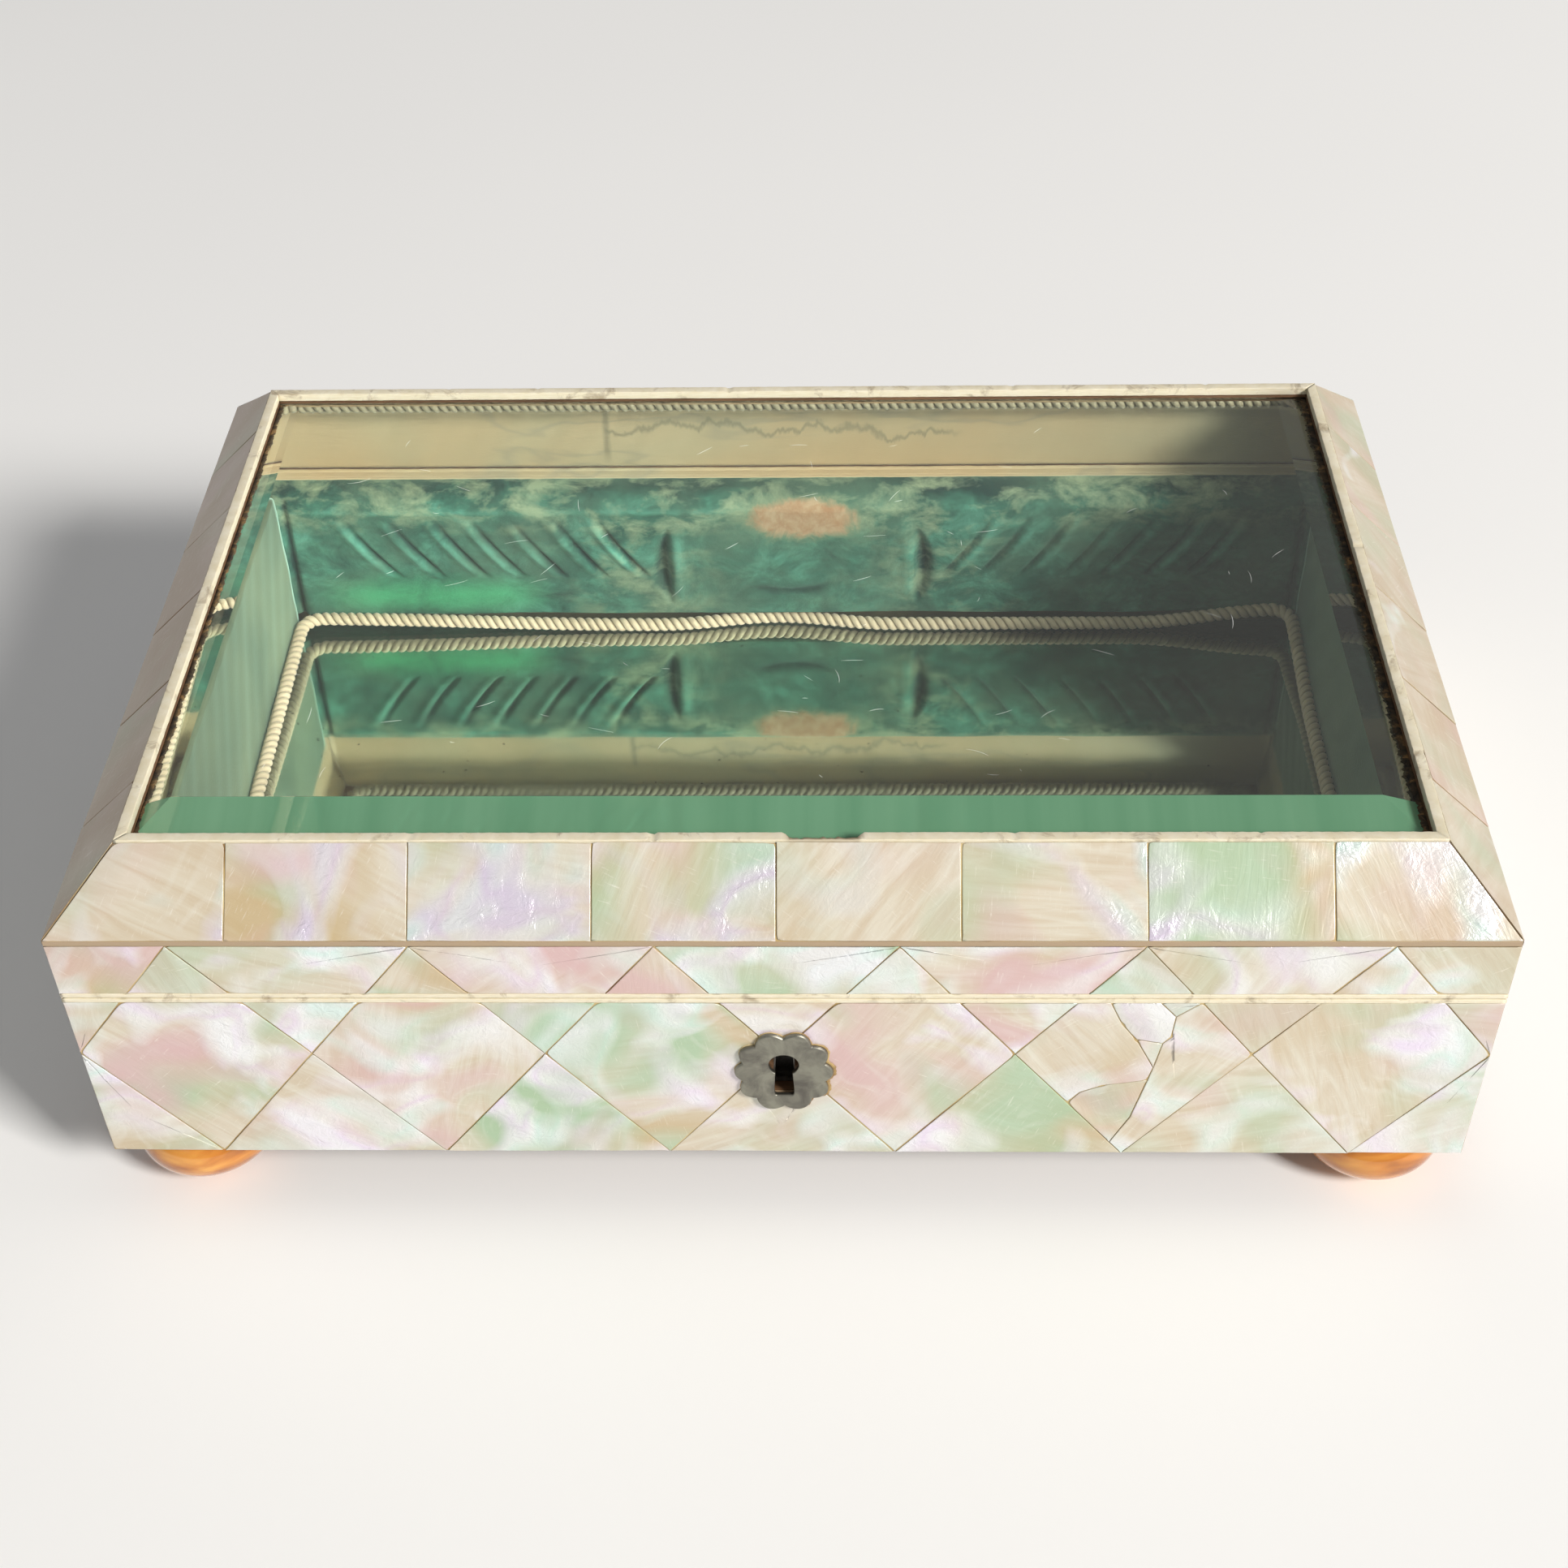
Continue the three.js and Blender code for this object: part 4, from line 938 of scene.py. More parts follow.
class OBJECT_OT_pearl_box_finishes(bpy.types.Operator):
    """Make the materials, and give the frame's own wood, glass and metal pieces theirs"""
    bl_idname = "object.pearl_box_finishes"
    bl_label = "Finishes"

    def execute(self, context):
        fit = context.scene.pearl_box_fittings
        MATERIAL.update(
            pearl=pearl_finish(), glue=glue_finish(), bone=bone_finish(), grime=grime_finish(),
            glass=lid_glass_finish(tuple(fit.glass)),
            plate_glass=glass_finish("mirror_glass_clear", (0.94, 0.99, 0.96)),
            silver=silver_finish(), velvet=velvet_finish(), lining=plain_velvet_finish(), silk=silk_finish(),
            cord=cord_finish(), foot=amber_finish(),
            pewter=metal_finish("old_pewter", tuple(fit.pewter), (0.17, 0.16, 0.14), 0.36),
            iron=metal_finish("lock_iron_grey", (0.30, 0.29, 0.27), (0.12, 0.10, 0.085), 0.42),
            brass=metal_finish("hinge_brass_dull", (0.55, 0.38, 0.14), (0.24, 0.16, 0.07), 0.34),
            wood_x=wood_finish("carcase_wood_long", (0.20, 0.105, 0.05), (0.09, 0.045, 0.02), (5, 40, 60)),
            wood_y=wood_finish("carcase_wood_side", (0.20, 0.105, 0.05), (0.09, 0.045, 0.02), (40, 5, 60)),
        )
        for name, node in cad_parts.items():
            along_y = name.endswith(("left", "right"))
            if name.startswith(("wall_", "lid_rail_", "bottom_board")):
                finish = MATERIAL["wood_y" if along_y else "wood_x"]
            elif name == "glass_pane":
                finish = MATERIAL["glass"]
                node.visible_shadow = False
            elif name.startswith("lock_"):
                finish = MATERIAL["iron"]
            elif name.startswith("hinge_"):
                finish = MATERIAL["brass"]
            else:
                continue
            node.data.materials.clear()
            node.data.materials.append(finish)
        return {"FINISHED"}


class OBJECT_OT_pearl_box_tiles(bpy.types.Operator):
    """Lay the mother-of-pearl tiles on the body, the lid's rim and its slope"""
    bl_idname = "object.pearl_box_tiles"
    bl_label = "Mother-of-pearl tiles"

    def execute(self, context):
        gap = context.scene.pearl_box_shell.gap / MM
        for turn, side in enumerate(SIDE_NAMES):
            half = half_of(turn)
            end = half if turn % 2 == 0 else half - SHELL
            front = turn == 0
            for name, body, up, names in (
                ("pearl_" + side, "box", (UNDERSIDE, BODY_SHELL_TOP), FRONT_BODY),
                ("lid_pearl_rim_" + side, "lid", (RIM_SHELL_LOW, RIM_SHELL_TOP), FRONT_RIM),
            ):
                outlines = lattice(half, (-end, end), up, DIAMONDS[turn])
                lock_side = name == "pearl_front"
                broken = BROKEN_DIAMOND if lock_side else None
                seed = (18 if body == "lid" else 11) + turn
                build_shell(name, outlines, upright_face(turn), gap, bed_parts(end, up, lock_side),
                            names if front else None, body, seed, broken, lock_side)
            outlines = plaque_outlines(half, PLAQUES[turn], PLAQUE_MITRE_GAP)
            slope_names = [side] * len(outlines) if side in BROWN_SHADED_SLOPES else None
            foot, top = half - 0.2, half - 0.2 - (SLOPE_RUN - 0.1)
            bed = [(-foot, 0.02), (foot, 0.02), (top, SLOPE_LENGTH - 0.05), (-top, SLOPE_LENGTH - 0.05)]
            build_shell("lid_pearl_slope_" + side, outlines, sloping_face(turn), gap, [bed],
                        FRONT_PLAQUES if front else slope_names, "lid", 31 + turn)
        return {"FINISHED"}


class OBJECT_OT_pearl_box_strips(bpy.types.Operator):
    """Set the bone strips on both sides of the split and round the glass, with the broken place in front"""
    bl_idname = "object.pearl_box_strips"
    bl_label = "Bone strips"

    def execute(self, context):
        for name, body, low_z, high_z, seed in (
            ("body_edge_line", "box", BODY_SHELL_TOP, SPLIT, 41),
            ("lid_edge_line", "lid", LID_BOTTOM, RIM_SHELL_LOW, 47),
        ):
            mesh = Mesh()
            for turn in range(4):
                self.strip(mesh, turn, (0.02, SHELL, low_z + 0.02, high_z - 0.02), seed + turn, 0.05, None)
            mesh.finish(name + "_strips", body, "bone", [MATERIAL["bone"]], (name,))
        mesh = Mesh()
        for turn in range(4):
            limits = (SLOPE_RUN + 0.05, SLOPE_RUN + GLASS_LINE, low("glass_edge_line")[2], GLASS_LINE_TOP)
            self.strip(mesh, turn, limits, 53 + turn, 0.09, (BREAK_FROM, BREAK_TO) if turn == 0 else None)
        mesh.finish("glass_edge_line_strips", "lid", "bone", [MATERIAL["bone"]], ("glass_edge_line",))
        return {"FINISHED"}

    def strip(self, mesh, turn, limits, seed, uneven, broken):
        """A mitred strip with rounded edges. Where it is broken, its inner half is gone: the section's inner
        points move back by most of its width and sink, with a ragged line."""
        rng = np.random.default_rng(seed)
        inset_low, inset_high, low_z, high_z = limits
        half, station_step, edge_radius = half_of(turn), 0.8, 0.16
        stations = np.linspace(-1, 1, round(2 * half / station_step))
        section = rounded_section(inset_low, inset_high, low_z, high_z, edge_radius)
        side, lift = (waves_along(rng, uneven, (2.3, 5.1, 17.0)) for _ in range(2))
        width = inset_high - inset_low
        tooth = waves_along(rng, 0.5, (1.3, 2.9, 0.7))
        wear = np.zeros((len(stations), len(section), 3))

        def move(across, inset, height):
            inner = (inset - inset_low) / width
            upper = (height - low_z) / (high_z - low_z)
            d_inset = side(across) * (inner - 0.5) - np.abs(side(across * 1.3)) * 0.5 * inner
            d_height = lift(across) * upper * 0.5 - 0.5 * np.abs(lift(across * 0.7)) * upper
            chip = np.clip(waves_along(rng, 1.0, (3.1, 7.7, 23.0, 61.0))(across) - 0.62, 0, 1)
            d_height = d_height - chip * upper * 1.2
            if broken:
                edge = 0.8
                gone = np.clip((across - broken[0]) / edge, 0, 1) * np.clip((broken[1] - across) / edge, 0, 1)
                d_inset = d_inset - gone * inner * (width * 0.62 + tooth(across))
                d_height = d_height - gone * upper * inner * 0.35
                wear[..., 0] = gone * (0.35 + 0.65 * inner)
            return d_inset, d_height

        points, poles = bar(turn, section, stations, lambda inset: half - inset - 0.06, move)
        mesh.grid(points, poles, bone_wear=wear)


class OBJECT_OT_pearl_box_glass(bpy.types.Operator):
    """Add the dark bead of dirt and putty round the glass, partly painted shadow of the gap under the lip,
    and the fine scratches on it
    """
    bl_idname = "object.pearl_box_glass"
    bl_label = "Glass edge and scratches"

    def execute(self, context):
        mesh = Mesh()
        inset = SLOPE_RUN + GLASS_LINE
        for turn in range(4):
            rng = np.random.default_rng(61 + turn)
            half = half_of(turn)
            stations = np.linspace(-1, 1, round(2 * half / 0.5))
            # The bead is widest on the right, where it is mostly painted shadow of the gap under the lip; on
            # the left it is dirt.
            wide, tall = ((0.3, 0.3), (1.15, 0.5), (0.45, 0.4), (0.75, 0.5))[turn]
            angle = np.linspace(0, 2 * math.pi, 12, endpoint=False)
            bottom = GLASS_TOP - 2.3
            section = np.stack([inset + wide * (0.7 + np.cos(angle)), bottom + tall * np.sin(angle)], axis=-1)
            thick = waves_along(rng, 0.45, (1.1, 2.3, 6.1, 15.0))

            def move(across, place, height):
                grow = thick(across)
                return (place - inset) * grow, (height - bottom) * grow

            points, poles = bar(turn, section, stations, lambda at: half - at - 0.1, move)
            mesh.grid(points, poles)
        mesh.finish("glass_grime", "lid", "wood", [MATERIAL["grime"]])
        self.scratches(context.scene.pearl_box_fittings.scratches)
        return {"FINISHED"}

    def scratches(self, count):
        """Fine scratches: slivers of three sides, as rows of points along a slightly bent line."""
        rng = np.random.default_rng(71)
        half_x = HALF_WIDTH - SLOPE_RUN - GLASS_LINE - 16
        half_y = HALF_DEPTH - SLOPE_RUN - GLASS_LINE - 16
        mesh = Mesh()
        for _ in range(count):
            middle = rng.uniform((-half_x, -half_y), (half_x, half_y))
            angle, length = rng.normal(0.5, 0.9), rng.uniform(1.0, 5.5)
            ahead = np.array([math.cos(angle), math.sin(angle)])
            aside = np.array([-ahead[1], ahead[0]])
            s = np.linspace(-0.5, 0.5, 5)
            bend = rng.normal(0, 0.05) * length
            line = middle + np.outer(s * length, ahead) + np.outer(bend * (0.25 - s * s) * 4, aside)
            wide = rng.uniform(0.03, 0.07) * (1 - (2 * s) ** 2 * 0.8)
            rows = [np.column_stack([line + np.outer(k * wide, aside), np.full(5, GLASS_TOP + up)])
                    for k, up in ((-1, 0.002), (0, 0.02), (1, 0.002))]
            points = np.stack(rows, axis=1)
            mesh.grid(points, points[[0, -1]].mean(axis=1))
        white = Finish("scratch_white").surface(Base_Color=(0.75, 0.78, 0.76), Roughness=0.4)
        mesh.finish("glass_scratches", "lid", "lid_glass", [white])


class OBJECT_OT_pearl_box_mirror(bpy.types.Operator):
    """Lay the mirror floor: silvering under a clear plate"""
    bl_idname = "object.pearl_box_mirror"
    bl_label = "Mirror floor"

    def execute(self, context):
        (x0, y0, z0), (x1, y1, _) = low("mirror_floor"), high("mirror_floor")
        silver_top = z0 + 0.7
        for name, bottom, top, finish, slot, nodes in (
            ("mirror_silvering", z0, silver_top, "silver", "floor_mirror", ("mirror_floor",)),
            ("mirror_plate", silver_top + 0.02, MIRROR_TOP, "plate_glass", "floor_mirror", ()),
        ):
            mesh = Mesh()
            edge = 0.15
            rings = [(0.0, bottom), (0.0, top - edge), (edge, top), (edge + 1.0, top)]
            corners = np.array([(x0, y0), (x1, y0), (x1, y1), (x0, y1)])
            signs = np.array([(1, 1), (-1, 1), (-1, -1), (1, -1)])
            points = np.array([np.column_stack([corners + signs * d, np.full(4, z)]) for d, z in rings])
            mesh.grid(points, np.array([(0, 0, bottom), (0, 0, top)]), smooth=False)
            piece = mesh.finish(name, "box", slot, [MATERIAL[finish]], nodes)
            piece.visible_shadow = finish != "plate_glass"
        return {"FINISHED"}


class OBJECT_OT_pearl_box_pads(bpy.types.Operator):
    """Sew the pleated velvet pads at the front and the back"""
    bl_idname = "object.pearl_box_pads"
    bl_label = "Pleated velvet pads"

    def execute(self, context):
        for turn, side in ((2, "back"), (0, "front")):
            self.pad(turn, side, context.scene.pearl_box_inside)
        return {"FINISHED"}

    def relief(self, x, z, user, rng):
        """How far the velvet stands out: slanting pleats in two groups, each a sunk fold with a soft ridge
        beside it, two crescent tucks, a swell between them and slow unevenness. crease_shade, returned with
        it, says how much painted shade each place gets."""
        top, foot = 55.0, 37.0
        s = np.clip((top - z) / (top - foot), -0.5, 1.5)
        fade = np.clip(1.1 * np.sin(math.pi * np.clip(s, 0, 1)) ** 0.6, 0, 1)
        out = np.zeros_like(x)
        crease_shade = np.zeros_like(x)
        groups = ((-112.0, 10.6, 7, 12.0), (37.0, 10.4, 7, -12.0))
        for start, pitch, count, lean in groups:
            for i in range(count):
                own = rng.uniform(-0.8, 0.8)
                at = start + (12.0 if lean < 0 else 0.0) + pitch * i + own
                away = x - (at + lean * np.maximum(s, 0) ** 1.25)
                cut = np.exp(-((away / 0.85) ** 2)) * (0.45 + 0.85 * np.clip(s, 0, 1))
                ridge = np.exp(-(((away + math.copysign(2.1, lean)) / 1.5) ** 2))
                deep = fade * rng.uniform(0.75, 1.1)
                out += deep * user.pleat / MM * (0.75 * ridge - cut)
                crease_shade += deep * (cut - 0.45 * ridge)
        for side in (-1, 1):
            u = np.clip((z - 40.5) / 12.0, -1, 1)
            moon = np.clip(1 - u * u, 0, 1)
            away = (x * side - 31.5) - 1.6 * (1 - u * u)
            cut = moon * np.exp(-((away / (0.4 + 1.5 * moon)) ** 2))
            lip = moon * np.exp(-(((away + 3.2) / 1.9) ** 2))
            out += user.tuck / MM * (0.35 * lip - cut)
            crease_shade += 1.3 * cut - 0.5 * lip
        swell = np.exp(-((x / 24) ** 2)) * np.exp(-(((z - 34) / 7) ** 2))
        pull = np.exp(-(((z - 33.0 - 0.02 * x * x) / 1.2) ** 2)) * np.exp(-((x / 9) ** 4))
        out += 0.9 * swell - 0.7 * pull
        crease_shade += 0.8 * pull
        for _ in range(5):
            k = rng.normal(0, 1, 2) * (0.16, 0.22)
            out += 0.16 * np.sin(k[0] * x + k[1] * z + rng.random() * ANY_PHASE)
        return out, crease_shade

    def pad(self, turn, side, user):
        """A closed section carried along the pad: flat back, round top edge and a full face that ends at a
        sunk seam. Only the back pad is bald in the middle and has a painted pool of green light near one end."""
        rng = np.random.default_rng(83 + turn)
        roll_foot, belly_foot = LINING_TOP - 5.2, PAD_UNDER + 0.6
        angle = np.linspace(0, math.pi / 2, 18)
        roll = np.stack([PAD_BACK + (PAD_FACE - PAD_BACK) * np.sin(angle) ** 0.9,
                         roll_foot + (LINING_TOP - roll_foot - 0.1) * np.cos(angle) ** 1.1], axis=-1)
        heights = np.linspace(roll_foot, belly_foot, 86)[1:]
        face = np.stack([np.full(len(heights), PAD_FACE), heights], axis=-1)
        turn_in = np.linspace(0, math.pi / 2, 6)[1:]
        foot = np.stack([PAD_FACE - 0.5 + 0.5 * np.cos(turn_in), belly_foot - 0.5 * np.sin(turn_in)], axis=-1)
        back = np.array([(PAD_BACK, PAD_UNDER + 0.1), (PAD_BACK, 44.0)])
        section = np.vstack([roll, face, foot, back])
        stations = np.linspace(-1, 1, 440)
        pad_half = PAD_HALF - 0.8
        seam = pad_half - 3.2
        state = np.zeros((len(stations), len(section), 3))

        def move(across, inset, height):
            x = -across if turn == 2 else across
            out, crease_shade = self.relief(x, height, user, rng)
            depth = np.clip((inset - PAD_BACK) / (PAD_FACE - PAD_BACK), 0, 1) ** 3
            near_end = np.clip((pad_half - np.abs(across)) / 0.8, 0, 1)
            groove = np.exp(-(((np.abs(across) - seam) / 0.8) ** 2))
            shown = depth * np.clip((seam - np.abs(across)) / 2, 0, 1)
            wear = np.exp(-(np.hypot((x - 1) / 14, (height - 57) / 8.5) ** 3))
            wear += 0.4 * np.exp(-(np.hypot((x - 14) / 7, (height - 54) / 7) ** 2))
            wear *= turn == 2
            bruise = np.clip((height - 50) / 7, 0, 1) + 0.7 * np.exp(-((np.abs(x) - 38) / 16) ** 2)
            # A painted pool of light, low on the back pad near its left end.
            painted_light_pool = (turn == 2) * np.exp(-(((x + 92) / 26) ** 4)) * np.exp(-(((height - 31.5) / 5) ** 2))
            # Painted shade and highlight: darker in creases and the seam groove, lighter on the top roll, and
            # a painted highlight line along the roll on its left part.
            nap = 0.5 - 0.65 * (crease_shade + groove) + 0.2 * np.clip((height - 57) / 4, 0, 1)
            nap += 0.25 * np.exp(-(((height - 57.2) / 0.8) ** 2)) * np.clip((20 - x) / 30, 0, 1)
            state[..., 0], state[..., 1] = nap * depth, wear * depth
            state[..., 2] = np.clip(bruise, 0, 1) * (1 - painted_light_pool) - painted_light_pool
            sunk = (1.4 * groove + (1 - near_end) ** 2) * depth
            return np.clip(out, -3.2, 1.2) * shown - sunk, 0.0 * height

        points, poles = bar(turn, section, stations, lambda inset: np.full_like(inset, pad_half), move)
        mesh = Mesh()
        mesh.grid(points, poles, cloth_state=state)
        piece = mesh.finish("pleated_pad_" + side, "box", "green_velvet", [MATERIAL["velvet"]],
                            ("velvet_pad_" + side,))


class OBJECT_OT_pearl_box_linings(bpy.types.Operator):
    """Line the ends with smooth velvet, and the ledges and the inside of the lid with silk"""
    bl_idname = "object.pearl_box_linings"
    bl_label = "Side linings and silk"

    def execute(self, context):
        for turn, side in ((1, "right"), (3, "left")):
            node = "velvet_lining_" + side
            edge = high(node) if side == "right" else -low(node)
            face = low(node) if side == "right" else -high(node)
            limits = (HALF_WIDTH - edge[0], HALF_WIDTH - face[0], low(node)[2], high(node)[2])
            self.slab(turn, "end_lining_" + side, node, limits, high(node)[1], 0.9, 91 + turn, "lining",
                      "grey_green_velvet", "box")
        for turn, side in ((2, "back"), (0, "front")):
            node = "silk_ledge_" + side
            limits = (LEDGE_BACK, LEDGE_FACE, low(node)[2], high(node)[2] + 0.1)
            self.slab(turn, "ledge_silk_" + side, node, limits, high(node)[0], 0.8, 95 + turn, "silk", "silk",
                      "box")
            self.piping(turn, side)
        for turn, side in enumerate(SIDE_NAMES):
            self.lid_silk(turn, side)
        return {"FINISHED"}

    def slab(self, turn, name, node, limits, half, radius, seed, finish, slot, body):
        """A soft slab: a rounded section with a slow swell of its faces."""
        rng = np.random.default_rng(seed)
        inset_low, inset_high, low_z, high_z = limits
        corner = rounded_section(inset_low, inset_high, low_z, high_z, radius, 5)
        rows = np.linspace(low_z + radius + 0.5, high_z - radius - 0.5, 36)
        face = np.stack([np.full(len(rows), inset_high), rows], axis=-1)
        section = np.vstack([corner, face])
        stations = np.linspace(-1, 1, round(2 * half / 1.6))
        swell = waves_along(rng, 0.22, (11.0, 29.0, 67.0))

        def move(across, inset, height):
            depth = np.clip((inset - inset_low) / (inset_high - inset_low), 0, 1) ** 4
            slow = swell(across + 0.7 * height) * depth
            return np.minimum(slow - 0.1, 0.15) * depth, 0.0 * height

        points, poles = bar(turn, section, stations, lambda inset: np.full_like(inset, half), move)
        mesh = Mesh()
        mesh.grid(points, poles, cloth_state=0.0)
        mesh.finish(name, body, slot, [MATERIAL[finish]], (node,))

    def piping(self, turn, side):
        """Thin rolled edges of silk on both sides of the ledge."""
        rng = np.random.default_rng(101 + turn)
        mesh = Mesh()
        angle = np.linspace(0, 2 * math.pi, 10, endpoint=False)
        rolls = ((PAD_BACK + 0.1, LINING_TOP - 0.35, 0.55), (LEDGE_BACK + 0.75, LINING_TOP, 0.6))
        for inset, height, size in rolls:
            section = np.stack([inset + size * np.cos(angle), height + size * np.sin(angle)], axis=-1)
            drift = waves_along(rng, 0.1, (4.0, 13.0, 31.0))
            points, poles = bar(
                turn, section, np.linspace(-1, 1, 260), lambda at: np.full_like(at, PAD_HALF - 0.6),
                lambda across, at, up: (drift(across), 0.4 * drift(across * 1.4)))
            mesh.grid(points, poles, cloth_state=0.0)
        mesh.finish("ledge_piping_" + side, "box", "silk", [MATERIAL["silk"]])

    def lid_silk(self, turn, side):
        """Silk glued inside the lid: up the rail, round a bend and along the underside of the slope, with
        slack folds where it has come loose."""
        rng = np.random.default_rng(111 + turn)
        node = "lid_silk_" + side
        reach = reach_of(turn)
        lows, highs = low(node), high(node)
        axis = 0 if turn % 2 else 1
        back = reach - highs[axis] if turn in (1, 2) else reach + lows[axis]
        face, tip = back + 1.0, back + 4.08
        foot, top = lows[2] - 0.25, highs[2]
        inner_top = top - 1.0 * UPRIGHT
        bend_back = top - (tip - back) * SLOPE_RISE / SLOPE_RUN
        bend_face = inner_top - (tip - face) * SLOPE_RISE / SLOPE_RUN
        up = np.linspace(foot + 0.5, bend_face, 26)
        out = np.linspace(0, 1, 7)[1:]
        behind = back + 0.05
        hem = [(behind, bend_back - 0.1), (behind, foot + 0.4), (back + 0.35, foot), (face - 0.3, foot)]
        section = np.vstack([
            hem,
            np.stack([np.full(len(up), face), up], axis=-1),
            np.stack([face + (tip - face) * out, bend_face + (inner_top - bend_face) * out], axis=-1),
            [(tip, top - 0.1)],
        ])
        swell = waves_along(rng, 0.28, (7.0, 19.0, 43.0))
        end = half_of(turn)

        def move(across, inset, height):
            shown = np.clip((inset - back - 0.6) / 0.4, 0, 1) * np.clip((height - foot) / 3, 0, 1)
            return np.clip(swell(across + 0.6 * height), -0.4, 0.25) * shown, 0.0 * height

        stations = np.linspace(-1, 1, round(end))
        points, poles = bar(turn, section, stations, lambda inset: end - inset - 0.15, move)
        mesh = Mesh()
        mesh.grid(points, poles, cloth_state=0.0)
        mesh.finish("lid_silk_cloth_" + side, "lid", "silk", [MATERIAL["silk"]], (node,))


class OBJECT_OT_pearl_box_cords(bpy.types.Operator):
    """Lay the two-strand cords round the mirror floor and under the lid's glass"""
    bl_idname = "object.pearl_box_cords"
    bl_label = "Twisted cords"

    def execute(self, context):
        gap = 0.2
        half_x = low("velvet_lining_right")[0] - gap - CORD_RADIUS
        half_y = HALF_DEPTH - PAD_FACE - gap - CORD_RADIUS
        height = MIRROR_TOP + 0.1 + CORD_RADIUS
        self.cord("floor_cord", "box", half_x, half_y, height, True, 14, 12)
        half_x = (high("lid_cord")[0] - low("lid_cord")[0]) / 2 - CORD_RADIUS
        half_y = (high("lid_cord")[1] - low("lid_cord")[1]) / 2 - CORD_RADIUS
        self.cord("lid_cord", "lid", half_x, half_y, LID_CORD_TOP - CORD_RADIUS, False, 12, 9)
        return {"FINISHED"}

    def route(self, s, half_x, half_y, laid):
        """A point at each distance round a rectangle with round corners, and the direction outwards. The laid
        cord leans back in a bow at the middle of the back and rises towards both back corners."""
        straight = np.array([half_x, half_y, half_x, half_y]) * 2 - 2 * CORD_CORNER
        arc = CORD_CORNER * math.pi / 2
        points, outs = np.zeros((len(s), 2)), np.zeros((len(s), 2))
        centres = [(half_x, -half_y), (half_x, half_y), (-half_x, half_y), (-half_x, -half_y)]
        start = 0.0
        for i in range(4):
            ahead = np.array([(1, 0), (0, 1), (-1, 0), (0, -1)][i], float)
            out = np.array([ahead[1], -ahead[0]])
            corner = np.array(centres[i], float)
            turn_from = corner - ahead * CORD_CORNER
            inside = (s >= start) & (s < start + straight[i])
            d = (s[inside] - start)[:, None]
            points[inside] = turn_from - ahead * (straight[i] - d)
            outs[inside] = out
            start += straight[i]
            inside = (s >= start) & (s < start + arc)
            angle = ((s[inside] - start) / CORD_CORNER)[:, None]
            outs[inside] = out * np.cos(angle) + ahead * np.sin(angle)
            points[inside] = turn_from - out * CORD_CORNER + outs[inside] * CORD_CORNER
            start += arc
        x, y = points.T
        lift = np.zeros(len(s))
        if laid:
            bow = CORD_BOW * self.hump(x - CORD_BOW_AT, CORD_BOW_HALF) * (y > half_y - 1)
            points = points + outs * bow[:, None]
            lift = RIGHT_LIFT * self.hump(np.hypot(x - half_x, y - half_y), RIGHT_LIFT_RUN)
            lift += LEFT_LIFT * self.hump(np.hypot(x + half_x, y - half_y), LEFT_LIFT_RUN)
        return np.column_stack([points, lift]), np.column_stack([outs, np.zeros(len(s))])

    @staticmethod
    def hump(away, half):
        """A smooth rise from 0 to 1 and back over a half width."""
        return (1 + np.cos(math.pi * np.clip(np.abs(away) / half, 0, 1))) / 2

    def cord(self, name, body, half_x, half_y, height, laid, per_turn, sides):
        """Strands wound round the route: each strand's middle is the route plus a circle's point that
        turns once in a lay, and its tube stands across its own direction."""
        length = 4 * (half_x + half_y) - 8 * CORD_CORNER + 2 * math.pi * CORD_CORNER
        turns = round(length / LAY)
        s = np.linspace(0, length, turns * per_turn, endpoint=False)
        path, out = self.route(s, half_x, half_y, laid)
        path[:, 2] += height
        up = np.array([0, 0, 1.0])
        mesh = Mesh()
        for strand in range(STRANDS):
            angle = (strand * 2 * math.pi / STRANDS - 2 * math.pi * turns * s / length)[:, None]
            radial = np.cos(angle) * out + np.sin(angle) * up
            middle = path + STRAND_REACH * radial
            ahead = np.roll(middle, -1, axis=0) - np.roll(middle, 1, axis=0)
            ahead /= np.linalg.norm(ahead, axis=1)[:, None]
            across = np.cross(ahead, radial)
            around = np.linspace(0, 2 * math.pi, sides, endpoint=False)
            outward, sideward = np.cos(around)[None, :, None], np.sin(around)[None, :, None]
            tube = middle[:, None] + STRAND_RADIUS * (outward * radial[:, None] + sideward * across[:, None])
            data = np.zeros(tube.shape)
            data[..., 0], data[..., 1], data[..., 2] = s[:, None], np.sin(around)[None, :], strand * 17.0
            # For painted shade: how far each point faces out from the cord, and whether it is the lid's cord.
            depth = np.zeros(tube.shape)
            depth[..., 0] = np.clip(np.cos(around) * 0.75 + 0.35, 0, 1)[None, :]
            depth[..., 1] = not laid
            mesh.grid(tube, wrap_rows=True, strand_place=data, strand_depth=depth)
        mesh.finish(name + "_strands", body, "twisted_cord", [MATERIAL["cord"]], (name,))


